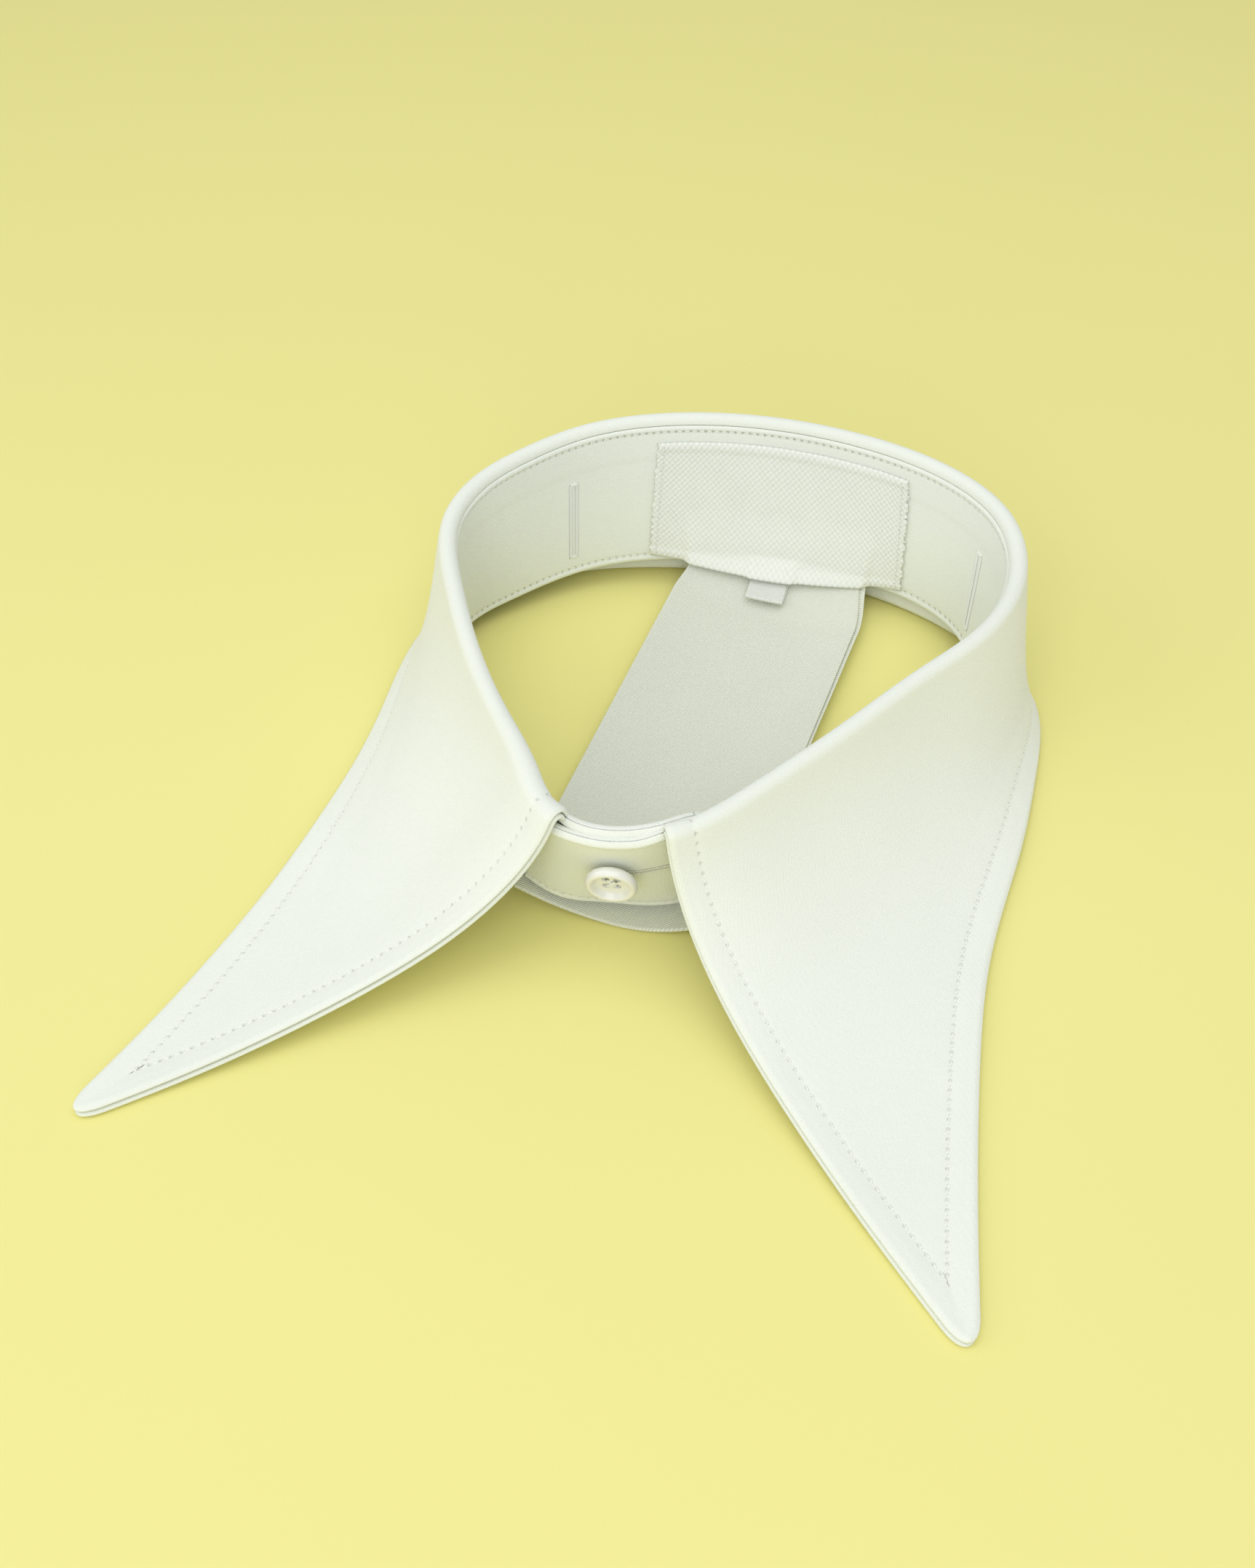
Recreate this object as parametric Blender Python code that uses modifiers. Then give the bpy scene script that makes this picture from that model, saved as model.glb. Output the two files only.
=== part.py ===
# A detachable shirt collar with long pointed leaves, buttoned at the front and standing on a flat
# surface. It is cut and sewn from eight pieces: two plies of the turned-down leaf, two plies of the
# neck band (the stand), a button, a woven label, a long care label and a small size tab.
# The tables are in millimetres, with +X to the viewer's right, +Y to the back and +Z up.
# The front of the collar faces -Y.
import math

import bpy
import numpy as np
from mathutils import Matrix, Vector

MM = 0.001

# Driving dimensions, in millimetres
PLY = 1.0                # one ply of cotton with its fused interlining
SEAM_GAP = 0.3           # left between any two pieces
FACETS = 62              # once round the neck
TAB_REACH = 17.0         # from the middle of the front to the rounded end of each band
CORNER_REACH = 10.5      # from the middle of the front to the leaf's front corner
LAP = 3.1                # how far the buttoned tab lies in front of the underlap
LAP_START, LAP_END = 110.0, 168.0     # stretch of the right side where the band moves out by LAP
RISER = 0.2              # straight rise of the leaf above the stand before it rolls over
TIP_ROUNDING = 11.0      # length of edge taken up by the rounded point
END_ROUNDING = 15.0      # length of edge taken up by the rounded foot of a band end
TOP_ROUNDING = 6.0       # and by its rounded top
TAB_DROP, TAB_DROP_RUN = 1.0, 6.0     # how far the buttoned tab's top lies under the band's, and how soon
BAND_HEIGHT = 30.0       # of a band end, for its rounding
BAND_LEVELS = (0, 0.12, 0.3, 0.55, 0.8, 1)
SINK = 0.15              # how much of a lying edge the surface presses flat
HANGING_CUT = 0.5        # how much of a hanging edge is cut level where it meets the surface
LEAF_ROWS, ROLL_ROWS = 8, 5
ROW_SPACING = 1.5        # above 1, the leaf's rows lie closer together towards its outer edge
TIP_SECTIONS = (1.0, 3.0)     # extra sections, this far from each front corner

LABEL_LENGTH, LABEL_THICKNESS = 65.0, 1.0
LABEL_LEVELS = np.linspace(0.075, 0.905, 5)     # from the foot, 0, to the top of the stand, 1
LABEL_CENTRE, LABEL_SLANT = 0.8, 2.0            # how far it sits and slants to the right
LABEL_SPREAD = 0.16      # the band's foot is shorter than its top, the label's two edges are not
CARE_WIDTH, CARE_THICKNESS = 49.0, 1.2
CARE_CENTRE, CARE_SLANT = 2.2, -1.2   # how far its middle lies to the right, and how far that changes
CARE_ROOT = 0.06         # level of its sewn end on the stand
CARE_LANDING = 33.0      # where it has come down, measured along y
CARE_DROP, CARE_LEAD = 4.5, 6.5       # how far it keeps its direction before and after the turn
CARE_TURN_ROWS, CARE_FLAT_ROWS = 7, 4
CARE_FRONT, CARE_SKEW = -74.0, 0.010            # its folded end, and how that end falls back
CARE_CURVE_LEFT, CARE_CURVE_RIGHT = 66.0, 100.0     # radius of the curve across its width
TAB_WIDTH, TAB_THICKNESS, TAB_ROWS = 10.4, 1.2, 6
BUTTON_ASIDE, BUTTON_LEVEL, BUTTON_STEPS = 0.2, 0.56, 28
BUTTON_PROFILE = [(0, 1.5), (3.3, 1.5), (4.0, 2.5), (4.6, 3.0), (5.2, 2.9), (5.7, 2.2),
                  (5.7, 1.4), (5.0, 0.4), (3.6, 0), (0, 0)]
HOLE_RADIUS, HOLE_SPREAD, HOLE_DEPTH = 0.75, 1.7, 8.0
FLOOR_BLOCK = (600.0, 600.0, 20.0)

# The top of the stand's inner face, once round from the middle of the front by the left:
# x, y, height of the top edge, how far the foot is drawn in from it, height of the foot
NECK = np.array([
    # x      y      top   in    foot
    (0.0, -73.6, 32.4, 8.0, 2.8),
    (-11.5, -72.0, 31.8, 3.6, 4.0),
    (-20.5, -63.2, 32.8, -4.0, 6.4),
    (-33.6, -49.2, 34.4, -3.0, 4.0),
    (-46.6, -33.3, 35.8, -2.5, 3.2),
    (-58.0, -15.8, 37.4, -2.5, 3.2),
    (-66.0, 3.0, 39.0, -1.5, 3.6),
    (-64.6, 16.6, 39.9, 3.6, 4.0),
    (-58.2, 29.0, 40.3, 6.4, 4.8),
    (-47.6, 41.6, 40.9, 8.8, 5.6),
    (-29.0, 52.4, 41.4, 10.7, 6.4),
    (-2.0, 58.8, 41.4, 10.8, 6.5),
    (20.0, 59.2, 40.6, 10.0, 6.2),
    (40.0, 54.6, 39.8, 8.4, 5.6),
    (55.6, 43.6, 39.0, 6.8, 4.8),
    (62.6, 25.0, 37.6, 5.0, 4.0),
    (59.6, 6.0, 37.0, 3.6, 3.4),
    (49.0, -12.5, 36.3, 2.6, 3.4),
    (36.2, -33.0, 35.4, 2.0, 3.8),
    (24.4, -50.6, 34.2, 2.6, 5.2),
    (12.6, -66.6, 33.2, 4.8, 3.6),
])

# The leaf, from the left front corner (-1) by the centre back (0) to the right front corner (1):
# place along the seam, outer edge x and y, radius of the roll, slope of the fall below the level,
# length that falls steeply, length that lies low, its bow towards the front, slope at the edge
LEAF = np.array([
    # u      hem_x   hem_y   roll  fall  drop  lie   bow  arrive
    (-1.00, -90.6, -161.2, 2.30, 56.0, 24.0, 60.0, 3.0, 0.0),
    (-0.95, -84.0, -133.0, 2.20, 62.0, 24.0, 46.0, 3.0, 0.0),
    (-0.87, -78.8, -104.0, 1.70, 70.0, 24.0, 32.0, 2.0, 4.0),
    (-0.74, -75.4, -66.0, 1.40, 76.0, 21.0, 20.0, 0.0, 16.0),
    (-0.60, -77.0, -28.0, 1.35, 80.0, 17.0, 13.0, 0.0, 40.0),
    (-0.47, -77.6, 5.0, 1.35, 78.0, 17.0, 11.0, 0.0, 60.0),
    (-0.32, -57.0, 33.0, 1.35, 95.0, 14.0, 14.0, 0.0, 74.0),
    (-0.16, -29.5, 46.4, 1.35, 101.0, 14.0, 14.0, 0.0, 79.0),
    (0.00, -2.0, 52.6, 1.35, 103.0, 14.0, 14.0, 0.0, 80.0),
    (0.16, 26.0, 52.6, 1.35, 100.0, 14.0, 14.0, 0.0, 79.0),
    (0.32, 54.4, 42.4, 1.35, 94.0, 14.0, 14.0, 0.0, 74.0),
    (0.45, 73.4, 24.0, 1.35, 75.0, 17.0, 12.0, 0.0, 66.0),
    (0.56, 78.2, -0.5, 1.35, 73.0, 18.0, 12.0, 0.0, 44.0),
    (0.67, 80.0, -27.0, 1.35, 74.0, 19.0, 17.0, 0.0, 22.0),
    (0.80, 81.0, -63.0, 1.40, 71.0, 22.0, 26.0, 0.0, 8.0),
    (0.90, 86.4, -97.0, 1.50, 68.0, 24.0, 40.0, 1.0, 2.0),
    (0.96, 92.6, -126.6, 1.60, 69.0, 27.0, 50.0, 3.0, 0.0),
    (1.00, 98.4, -151.0, 1.60, 71.0, 30.0, 60.0, 3.0, 0.0),
])

COTTON = (0.86, 0.87, 0.84, 1.0)
TAPE = (0.84, 0.84, 0.80, 1.0)
SATIN = (0.88, 0.88, 0.83, 1.0)
SHELL = (0.88, 0.88, 0.82, 1.0)


def spline(knots, values, at):
    """A cubic curve through the rows: its slope and its bend run on from one stretch to the next."""
    h = np.diff(knots)
    count = len(knots)
    matrix = np.eye(count)
    right = np.zeros((count, values.shape[1]))
    for i in range(1, count - 1):
        matrix[i, i - 1:i + 2] = h[i - 1], 2 * (h[i - 1] + h[i]), h[i]
        right[i] = 6 * ((values[i + 1] - values[i]) / h[i] - (values[i] - values[i - 1]) / h[i - 1])
    bend = np.linalg.solve(matrix, right)
    at = np.asarray(at, float)
    i = np.clip(np.searchsorted(knots, at, side="right") - 1, 0, count - 2)
    a = ((knots[i + 1] - at) / h[i])[:, None]
    b = 1 - a
    curve = a * values[i] + b * values[i + 1]
    return curve + ((a**3 - a) * bend[i] + (b**3 - b) * bend[i + 1]) * (h[i]**2 / 6)[:, None]


def neck_path():
    """The neck table as fine points by arc length, several rows repeated past each end of the loop."""
    wrap = 5
    rows = np.vstack([NECK[-wrap:], NECK, NECK[:wrap + 1]])
    chord = np.r_[0, np.cumsum(np.linalg.norm(np.diff(rows[:, :2], axis=0), axis=1))]
    fine = np.linspace(chord[0], chord[-1], 4000)
    points = spline(chord, rows, fine)
    length = np.r_[0, np.cumsum(np.linalg.norm(np.diff(points[:, :2], axis=0), axis=1))]
    start = np.interp(chord[wrap], fine, length)
    around = np.interp(chord[wrap + len(NECK)], fine, length) - start
    return length - start, points, around


NECK_LENGTH, NECK_POINTS, NECK_AROUND = neck_path()
HALF_SEAM = NECK_AROUND / 2 - CORNER_REACH
HALF_BAND = NECK_AROUND / 2 + TAB_REACH


def smooth_step(value):
    value = np.clip(value, 0, 1)
    return value * value * (3 - 2 * value)


def stand_edges(s):
    """For places s along the band from the centre back, positive to the right: the middle of the
    stand's wall at its top and at its foot, and the level direction out of the neck."""
    s = np.asarray(s, float)
    place = s + NECK_AROUND / 2
    step = 0.5

    def read(at):
        return np.array([np.interp(at, NECK_LENGTH, column) for column in NECK_POINTS.T]).T

    rows = read(place)
    along = (read(place + step) - read(place - step))[:, :2]
    along /= np.linalg.norm(along, axis=1)[:, None]
    out = np.c_[-along[:, 1], along[:, 0], np.zeros(len(s))]
    wall = PLY + SEAM_GAP / 2
    lap = LAP * smooth_step((s - LAP_START) / (LAP_END - LAP_START))
    drop = TAB_DROP * smooth_step((s - HALF_SEAM) / TAB_DROP_RUN)
    top = np.c_[rows[:, :2], rows[:, 2] - drop] + out * (wall + lap)[:, None]
    foot = np.c_[rows[:, :2], rows[:, 4]] + out * (wall + lap - rows[:, 3])[:, None]
    return top, foot, out


def round_corner(a, b, reach):
    """Distances a and b from the two edges at a corner, moved so that the corner becomes an arc
    that starts at that reach along each edge: the square to disc mapping."""
    p = np.clip(1 - a / reach, 0, 1)
    q = np.clip(1 - b / reach, 0, 1)
    new_a = np.where(a < reach, reach * (1 - p * np.sqrt(1 - q * q / 2)), a)
    new_b = np.where(b < reach, reach * (1 - q * np.sqrt(1 - p * p / 2)), b)
    return new_a, new_b


def stand_point(s, height):
    """Points of the stand's middle surface; height runs from 0 at the foot to 1 at the top."""
    top, foot = stand_edges(s.ravel())[:2]
    share = height.ravel()[:, None]
    return (foot + (top - foot) * share).reshape(s.shape + (3,))


def stand_surface():
    """The whole band as a grid, its four end corners rounded. Where the ends lie over each other
    their facets do too."""
    facet = NECK_AROUND / FACETS
    count = int(HALF_BAND / facet)
    s = np.r_[-HALF_BAND, np.arange(-count, count + 1) * facet, HALF_BAND]
    s, v = np.meshgrid(s, BAND_LEVELS, indexing="ij")
    for low in (True, False):
        a = HALF_BAND - np.abs(s)
        b = v * BAND_HEIGHT if low else (1 - v) * BAND_HEIGHT
        a, b = round_corner(a, b, END_ROUNDING if low else TOP_ROUNDING)
        s = np.sign(s) * (HALF_BAND - a)
        v = b / BAND_HEIGHT if low else 1 - b / BAND_HEIGHT
    return stand_point(s, v)


def leaf_surface(u, t, arc_rows):
    """The leaf's middle surface. Each section u rises from the stand's top, rolls over in an arc
    and runs to the outer edge as a cubic curve with four guide points, read at the places t."""
    row = spline(LEAF[:, 0], LEAF[:, 1:], u)
    radius, drop, lie, bow = row[:, 2, None], row[:, 4, None], row[:, 5, None], row[:, 6, None]
    fall, arrive = np.radians(row[:, 3, None]), np.radians(row[:, 7, None].clip(0))
    top, foot, out = stand_edges(u * HALF_SEAM)
    up = np.array([0.0, 0.0, 1.0])
    rise = (top - foot) / np.linalg.norm(top - foot, axis=1)[:, None]
    side = np.cross(np.cross(rise, out), rise)
    side /= np.linalg.norm(side, axis=1)[:, None]
    lean = np.arctan2((rise * out).sum(1), rise[:, 2])[:, None]
    start = top + rise * SEAM_GAP
    centre = start + rise * RISER + side * radius
    turn = math.pi / 2 - lean + fall
    points = [start]
    for share in np.linspace(0, 1, arc_rows + 1):
        points.append(centre + radius * (rise * np.sin(turn * share) - side * np.cos(turn * share)))
    # a lying edge keeps the under ply on the surface, a standing one is cut level there
    half = PLY + SEAM_GAP / 2
    level = half * np.cos(arrive).clip(0, 1) - SINK - HANGING_CUT * np.sin(arrive).clip(0, 1)
    hem = np.c_[row[:, :2], level]
    back = (points[-1] - hem) * np.array([1.0, 1.0, 0.0])
    back /= np.linalg.norm(back, axis=1)[:, None]
    across = np.c_[-back[:, 1], back[:, 0], np.zeros(len(u))] * np.sign(u)[:, None]
    p0 = points[-1]
    p1 = p0 + (out * np.cos(fall) - up * np.sin(fall)) * drop
    p2 = hem + lie * (back * np.cos(arrive) + up * np.sin(arrive)) + across * bow
    t = np.broadcast_to(t, (len(u), len(t)))
    for k in range(t.shape[1]):
        at = t[:, k, None]
        points.append((1 - at)**3 * p0 + 3 * at * (1 - at)**2 * p1 + 3 * at**2 * (1 - at) * p2 + at**3 * hem)
    return np.array(points).transpose(1, 0, 2)


def leaf_grid():
    """Sections all round the leaf, closer at the points, whose two corners are rounded."""
    count = round(HALF_SEAM / NECK_AROUND * FACETS)
    near = 1 - np.array(TIP_SECTIONS) / HALF_SEAM
    u = np.sort(np.r_[np.linspace(-1, 1, 2 * count + 1), near, -near])
    t = 1 - (1 - np.arange(1, LEAF_ROWS + 1) / LEAF_ROWS)**ROW_SPACING
    points = leaf_surface(u, t, ROLL_ROWS)
    return round_points(points)


def round_points(points):
    """Rounds the two pointed corners: a grid point near one is moved along the grid's own two
    directions, which keeps it on the surface."""
    rounded = points.copy()
    for end, step in ((0, 1), (len(points) - 1, -1)):
        corner = points[end, -1]
        edge = points[end, ::-1]
        outer = points[::step, -1]
        along_edge = np.r_[0, np.cumsum(np.linalg.norm(np.diff(edge, axis=0), axis=1))]
        along_outer = np.r_[0, np.cumsum(np.linalg.norm(np.diff(outer, axis=0), axis=1))]
        rows = np.flatnonzero(along_edge < TIP_ROUNDING)
        columns = np.flatnonzero(along_outer < TIP_ROUNDING)
        for i in columns:
            for j in rows:
                a, b = round_corner(along_outer[i], along_edge[j], TIP_ROUNDING)
                shift = (outer[1] - corner) / along_outer[1] * (a - along_outer[i])
                shift = shift + (edge[1] - corner) / along_edge[1] * (b - along_edge[j])
                rounded[end + step * i, -1 - j] = points[end + step * i, -1 - j] + shift
    return rounded


def surface_normals(points):
    """Unit normals of a grid, from the differences along its two directions."""
    du = np.gradient(points, axis=0)
    dv = np.gradient(points, axis=1)
    normal = np.cross(du, dv)
    return normal / np.linalg.norm(normal, axis=2)[:, :, None]


def material(name, colour, roughness):
    made = bpy.data.materials.new(name)
    made.use_nodes = True
    shader = made.node_tree.nodes["Principled BSDF"]
    shader.inputs["Base Color"].default_value = colour
    shader.inputs["Roughness"].default_value = roughness
    shader.inputs["Metallic"].default_value = 0.0
    made.diffuse_color = colour
    return made


def cloth(name, points, thickness, colour, roughness=0.85):
    """A grid of points as an open surface, given its wall by Solidify, half to each side."""
    rows, columns = points.shape[:2]
    index = np.arange(rows * columns).reshape(rows, columns)
    faces = np.stack([index[:-1, :-1], index[1:, :-1], index[1:, 1:], index[:-1, 1:]], axis=2).reshape(-1, 4)
    mesh = bpy.data.meshes.new(name)
    mesh.from_pydata((points.reshape(-1, 3) * MM).tolist(), [], faces.tolist())
    mesh.materials.append(material(name, colour, roughness))
    made = bpy.data.objects.new(name, mesh)
    parts.objects.link(made)
    made.parent = origin
    wall = made.modifiers.new("wall", "SOLIDIFY")
    wall.thickness = thickness * MM
    wall.offset = 0
    wall.use_even_offset = True
    mesh.shade_smooth()
    return made


def labels():
    """The woven label on the band, the care tape below it and the small tab on the tape."""
    facet = NECK_AROUND / FACETS
    half = round(LABEL_LENGTH / 2 / facet)
    s, v = np.meshgrid(np.arange(-half, half + 1) * facet, LABEL_LEVELS, indexing="ij")
    s = s * (1 + LABEL_SPREAD * (1 - v)) + LABEL_CENTRE + LABEL_SLANT * (1 - v)
    face = PLY + 1.5 * SEAM_GAP
    points = inward(s, v, face + LABEL_THICKNESS / 2)
    cloth("woven_label", points, LABEL_THICKNESS, TAPE)

    w = np.arange(-4, 5) * (CARE_WIDTH / 8)
    tape = care_surface(w, face + CARE_THICKNESS / 2)
    cloth("care_label", tape, CARE_THICKNESS, SATIN, 0.35)

    w = np.arange(-1, 2) * (TAB_WIDTH / 2)
    tape = care_surface(w, face + CARE_THICKNESS / 2)[:, :TAB_ROWS]
    tape = tape - surface_normals(tape) * (CARE_THICKNESS / 2 + SEAM_GAP + TAB_THICKNESS / 2)
    cloth("size_tab", tape, TAB_THICKNESS, SATIN, 0.6)


def inward(s, v, distance):
    """Points of the stand moved towards the neck."""
    points = stand_point(s, v)
    out = stand_edges(s.ravel())[2].reshape(s.shape + (3,))
    return points - out * distance


def care_surface(w, distance):
    """The tape leaves the band's foot, turns onto the surface and runs to the front. It keeps the
    band's curve across its width, so its two edges stay a little above the surface."""
    s = w + CARE_CENTRE
    root = inward(s, np.full(len(s), CARE_ROOT), distance)
    top, foot = stand_edges(s)[:2]
    down = (foot - top) / np.linalg.norm(foot - top, axis=1)[:, None]
    bend = np.where(w < 0, CARE_CURVE_LEFT, CARE_CURVE_RIGHT)
    level = CARE_THICKNESS / 2 - SINK + w * w / 2 / bend
    x = w + CARE_CENTRE
    landing = np.c_[x, np.full(len(w), CARE_LANDING), level]
    lead = np.array([0.0, 1.0, 0.0])
    end = np.c_[x + CARE_SLANT, CARE_FRONT + CARE_SKEW * np.maximum(x, 0)**2, level]
    points = []
    for t in np.linspace(0, 1, CARE_TURN_ROWS + 1):
        points.append((1 - t)**3 * root + 3 * t * (1 - t)**2 * (root + down * CARE_DROP)
                      + 3 * t * t * (1 - t) * (landing + lead * CARE_LEAD) + t**3 * landing)
    for t in np.linspace(0, 1, CARE_FLAT_ROWS + 1)[1:]:
        points.append(landing + (end - landing) * t)
    return np.array(points).transpose(1, 0, 2)


def turned(name, profile, steps, colour):
    """A profile of (radius, height) rows, from the top of the axis down its outer side, turned."""
    mesh = bpy.data.meshes.new(name)
    points = [(r * MM, 0.0, z * MM) for r, z in profile]
    mesh.from_pydata(points, [(i, i + 1) for i in range(len(points) - 1)], [])
    mesh.materials.append(material(name, colour, 0.3))
    made = bpy.data.objects.new(name, mesh)
    parts.objects.link(made)
    made.parent = origin
    screw = made.modifiers.new("turn", "SCREW")
    screw.steps = screw.render_steps = steps
    screw.use_merge_vertices = True
    screw.merge_threshold = 0.00001
    screw.use_smooth_shade = True
    return made


def button():
    """A four-hole button that lies on the buttoned tab's outer face."""
    place = np.array([NECK_AROUND / 2 - BUTTON_ASIDE])
    top, foot, out = stand_edges(place)
    rise = (top - foot)[0] / np.linalg.norm(top - foot)
    face = Vector(out[0] - rise * float(out[0] @ rise)).normalized()
    middle = foot[0] + (top - foot)[0] * BUTTON_LEVEL
    middle = Vector(middle) + face * (PLY + 1.5 * SEAM_GAP)
    made = turned("button", BUTTON_PROFILE, BUTTON_STEPS, SHELL)
    made.location = middle * MM
    made.rotation_mode = "QUATERNION"
    made.rotation_quaternion = face.to_track_quat("Z", "Y")
    for i in range(4):
        angle = math.pi / 4 + i * math.pi / 2
        bpy.ops.mesh.primitive_cylinder_add(vertices=10, radius=HOLE_RADIUS * MM, depth=HOLE_DEPTH * MM)
        hole = bpy.context.object
        hole.name = f"button_hole_{i + 1}"
        across = Vector((math.cos(angle), math.sin(angle), 0)) * HOLE_SPREAD * MM
        hole.parent = made
        hole.location = across
        as_cutter(hole)
        cut(made, hole)


def as_cutter(made):
    for owner in list(made.users_collection):
        owner.objects.unlink(made)
    cutters.objects.link(made)
    made.hide_render = True
    made.display_type = "WIRE"


def cut(made, cutter):
    modifier = made.modifiers.new(cutter.name, "BOOLEAN")
    modifier.operation = "DIFFERENCE"
    modifier.solver = "EXACT"
    modifier.object = cutter


def floor_cutter():
    """A block whose top is the surface that the collar stands on."""
    bpy.ops.mesh.primitive_cube_add(size=1)
    block = bpy.context.object
    block.name = "floor_block"
    block.data.transform(Matrix.Diagonal(np.append(FLOOR_BLOCK, 1 / MM) * MM))
    block.location = (0, 0, -FLOOR_BLOCK[2] / 2 * MM)
    block.parent = origin
    as_cutter(block)
    return block


def place_origin():
    """Moves everything so that the origin is the middle of the box's base."""
    graph = bpy.context.evaluated_depsgraph_get()
    corners = []
    for made in parts.objects:
        if made.type == "MESH":
            seen = made.evaluated_get(graph)
            corners += [seen.matrix_world @ Vector(corner) for corner in seen.bound_box]
    low = np.min(corners, axis=0)
    high = np.max(corners, axis=0)
    origin.location = (-(low[0] + high[0]) / 2, -(low[1] + high[1]) / 2, 0)


def main():
    mid = stand_surface()
    normal = surface_normals(mid)
    move = (PLY + SEAM_GAP) / 2
    cloth("outer_stand", mid - normal * move, PLY, COTTON)
    cloth("inner_stand", mid + normal * move, PLY, COTTON)
    leaf = leaf_grid()
    normal = surface_normals(leaf)
    under = cloth("under_collar", leaf - normal * move, PLY, COTTON)
    upper = cloth("top_collar", leaf + normal * move, PLY, COTTON)
    labels()
    button()
    block = floor_cutter()
    for made in (under, upper, bpy.data.objects["care_label"]):
        cut(made, block)
    bpy.context.view_layer.update()
    place_origin()
    bpy.context.view_layer.update()


for old in list(bpy.data.objects):
    bpy.data.objects.remove(old)
parts = bpy.data.collections.new("detachable_collar")
cutters = bpy.data.collections.new("cutters")
bpy.context.scene.collection.children.link(parts)
bpy.context.scene.collection.children.link(cutters)
origin = bpy.data.objects.new("collar_origin", None)
parts.objects.link(origin)
main()
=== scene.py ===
import math

import bpy
import numpy as np
from mathutils import Matrix, Vector


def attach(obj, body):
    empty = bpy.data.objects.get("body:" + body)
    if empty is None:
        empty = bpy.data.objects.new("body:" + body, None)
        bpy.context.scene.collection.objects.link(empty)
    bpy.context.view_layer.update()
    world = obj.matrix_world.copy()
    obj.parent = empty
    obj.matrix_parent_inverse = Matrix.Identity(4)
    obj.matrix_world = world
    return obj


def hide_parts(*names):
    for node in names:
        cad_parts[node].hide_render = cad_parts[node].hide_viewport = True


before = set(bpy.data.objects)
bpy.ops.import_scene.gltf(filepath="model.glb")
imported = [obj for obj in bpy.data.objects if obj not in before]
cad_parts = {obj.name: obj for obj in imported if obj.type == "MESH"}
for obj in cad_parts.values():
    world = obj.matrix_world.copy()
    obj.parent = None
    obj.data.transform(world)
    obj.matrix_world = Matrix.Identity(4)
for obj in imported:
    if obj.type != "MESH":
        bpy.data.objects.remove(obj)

mm = 0.001
tableShift = np.array([-3.856, 45.607, 0.0])     # from the cutter's table to the frame
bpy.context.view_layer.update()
print("collar: frame loaded")

# the stand: top of its inner face once round from the middle of the front by the left
neckTable = np.array([
    # x      y      top   in    foot
    (0.0, -73.6, 32.4, 8.0, 2.8),
    (-11.5, -72.0, 31.8, 3.6, 4.0),
    (-20.5, -63.2, 32.8, -4.0, 6.4),
    (-33.6, -49.2, 34.4, -3.0, 4.0),
    (-46.6, -33.3, 35.8, -2.5, 3.2),
    (-58.0, -15.8, 37.4, -2.5, 3.2),
    (-66.0, 3.0, 39.0, -1.5, 3.6),
    (-64.6, 16.6, 39.9, 3.6, 4.0),
    (-58.2, 29.0, 40.3, 6.4, 4.8),
    (-47.6, 41.6, 40.9, 8.8, 5.6),
    (-29.0, 52.4, 41.4, 10.7, 6.4),
    (-2.0, 58.8, 41.4, 10.8, 6.5),
    (20.0, 59.2, 40.6, 10.0, 6.2),
    (40.0, 54.6, 39.8, 8.4, 5.6),
    (55.6, 43.6, 39.0, 6.8, 4.8),
    (62.6, 25.0, 37.6, 5.0, 4.0),
    (59.6, 6.0, 37.0, 3.6, 3.4),
    (49.0, -12.5, 36.3, 2.6, 3.4),
    (36.2, -33.0, 35.4, 2.0, 3.8),
    (24.4, -50.6, 34.2, 2.6, 5.2),
    (12.6, -66.6, 33.2, 4.8, 3.6),
])

# the leaf: from the left front corner (-1) by the centre back (0) to the right front corner (1)
leafTable = np.array([
    # u      hemX   hemY    roll  fall  drop  lie   bow  arrive
    (-1.00, -90.6, -161.2, 2.30, 56.0, 24.0, 60.0, 3.0, 0.0),
    (-0.95, -84.0, -133.0, 2.20, 62.0, 24.0, 46.0, 3.0, 0.0),
    (-0.87, -78.8, -104.0, 1.70, 70.0, 24.0, 32.0, 2.0, 4.0),
    (-0.74, -75.4, -66.0, 1.40, 76.0, 21.0, 20.0, 0.0, 16.0),
    (-0.60, -77.0, -28.0, 1.35, 80.0, 17.0, 13.0, 0.0, 40.0),
    (-0.47, -77.6, 5.0, 1.35, 78.0, 17.0, 11.0, 0.0, 60.0),
    (-0.32, -57.0, 33.0, 1.35, 95.0, 14.0, 14.0, 0.0, 74.0),
    (-0.16, -29.5, 46.4, 1.35, 101.0, 14.0, 14.0, 0.0, 79.0),
    (0.00, -2.0, 52.6, 1.35, 103.0, 14.0, 14.0, 0.0, 80.0),
    (0.16, 26.0, 52.6, 1.35, 100.0, 14.0, 14.0, 0.0, 79.0),
    (0.32, 54.4, 42.4, 1.35, 94.0, 14.0, 14.0, 0.0, 74.0),
    (0.45, 74.2, 24.0, 1.35, 75.0, 17.0, 12.0, 0.0, 66.0),
    (0.56, 79.2, -0.5, 1.35, 73.0, 18.0, 12.0, 0.0, 44.0),
    (0.67, 80.6, -27.0, 1.35, 74.0, 19.0, 17.0, 0.0, 22.0),
    (0.80, 81.0, -63.0, 1.40, 71.0, 22.0, 26.0, 0.0, 8.0),
    (0.90, 86.4, -97.0, 1.50, 68.0, 24.0, 40.0, 1.0, 2.0),
    (0.96, 92.6, -126.6, 1.60, 69.0, 27.0, 50.0, 3.0, 0.0),
    (1.00, 98.4, -151.0, 1.60, 71.0, 30.0, 60.0, 3.0, 0.0),
])

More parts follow.
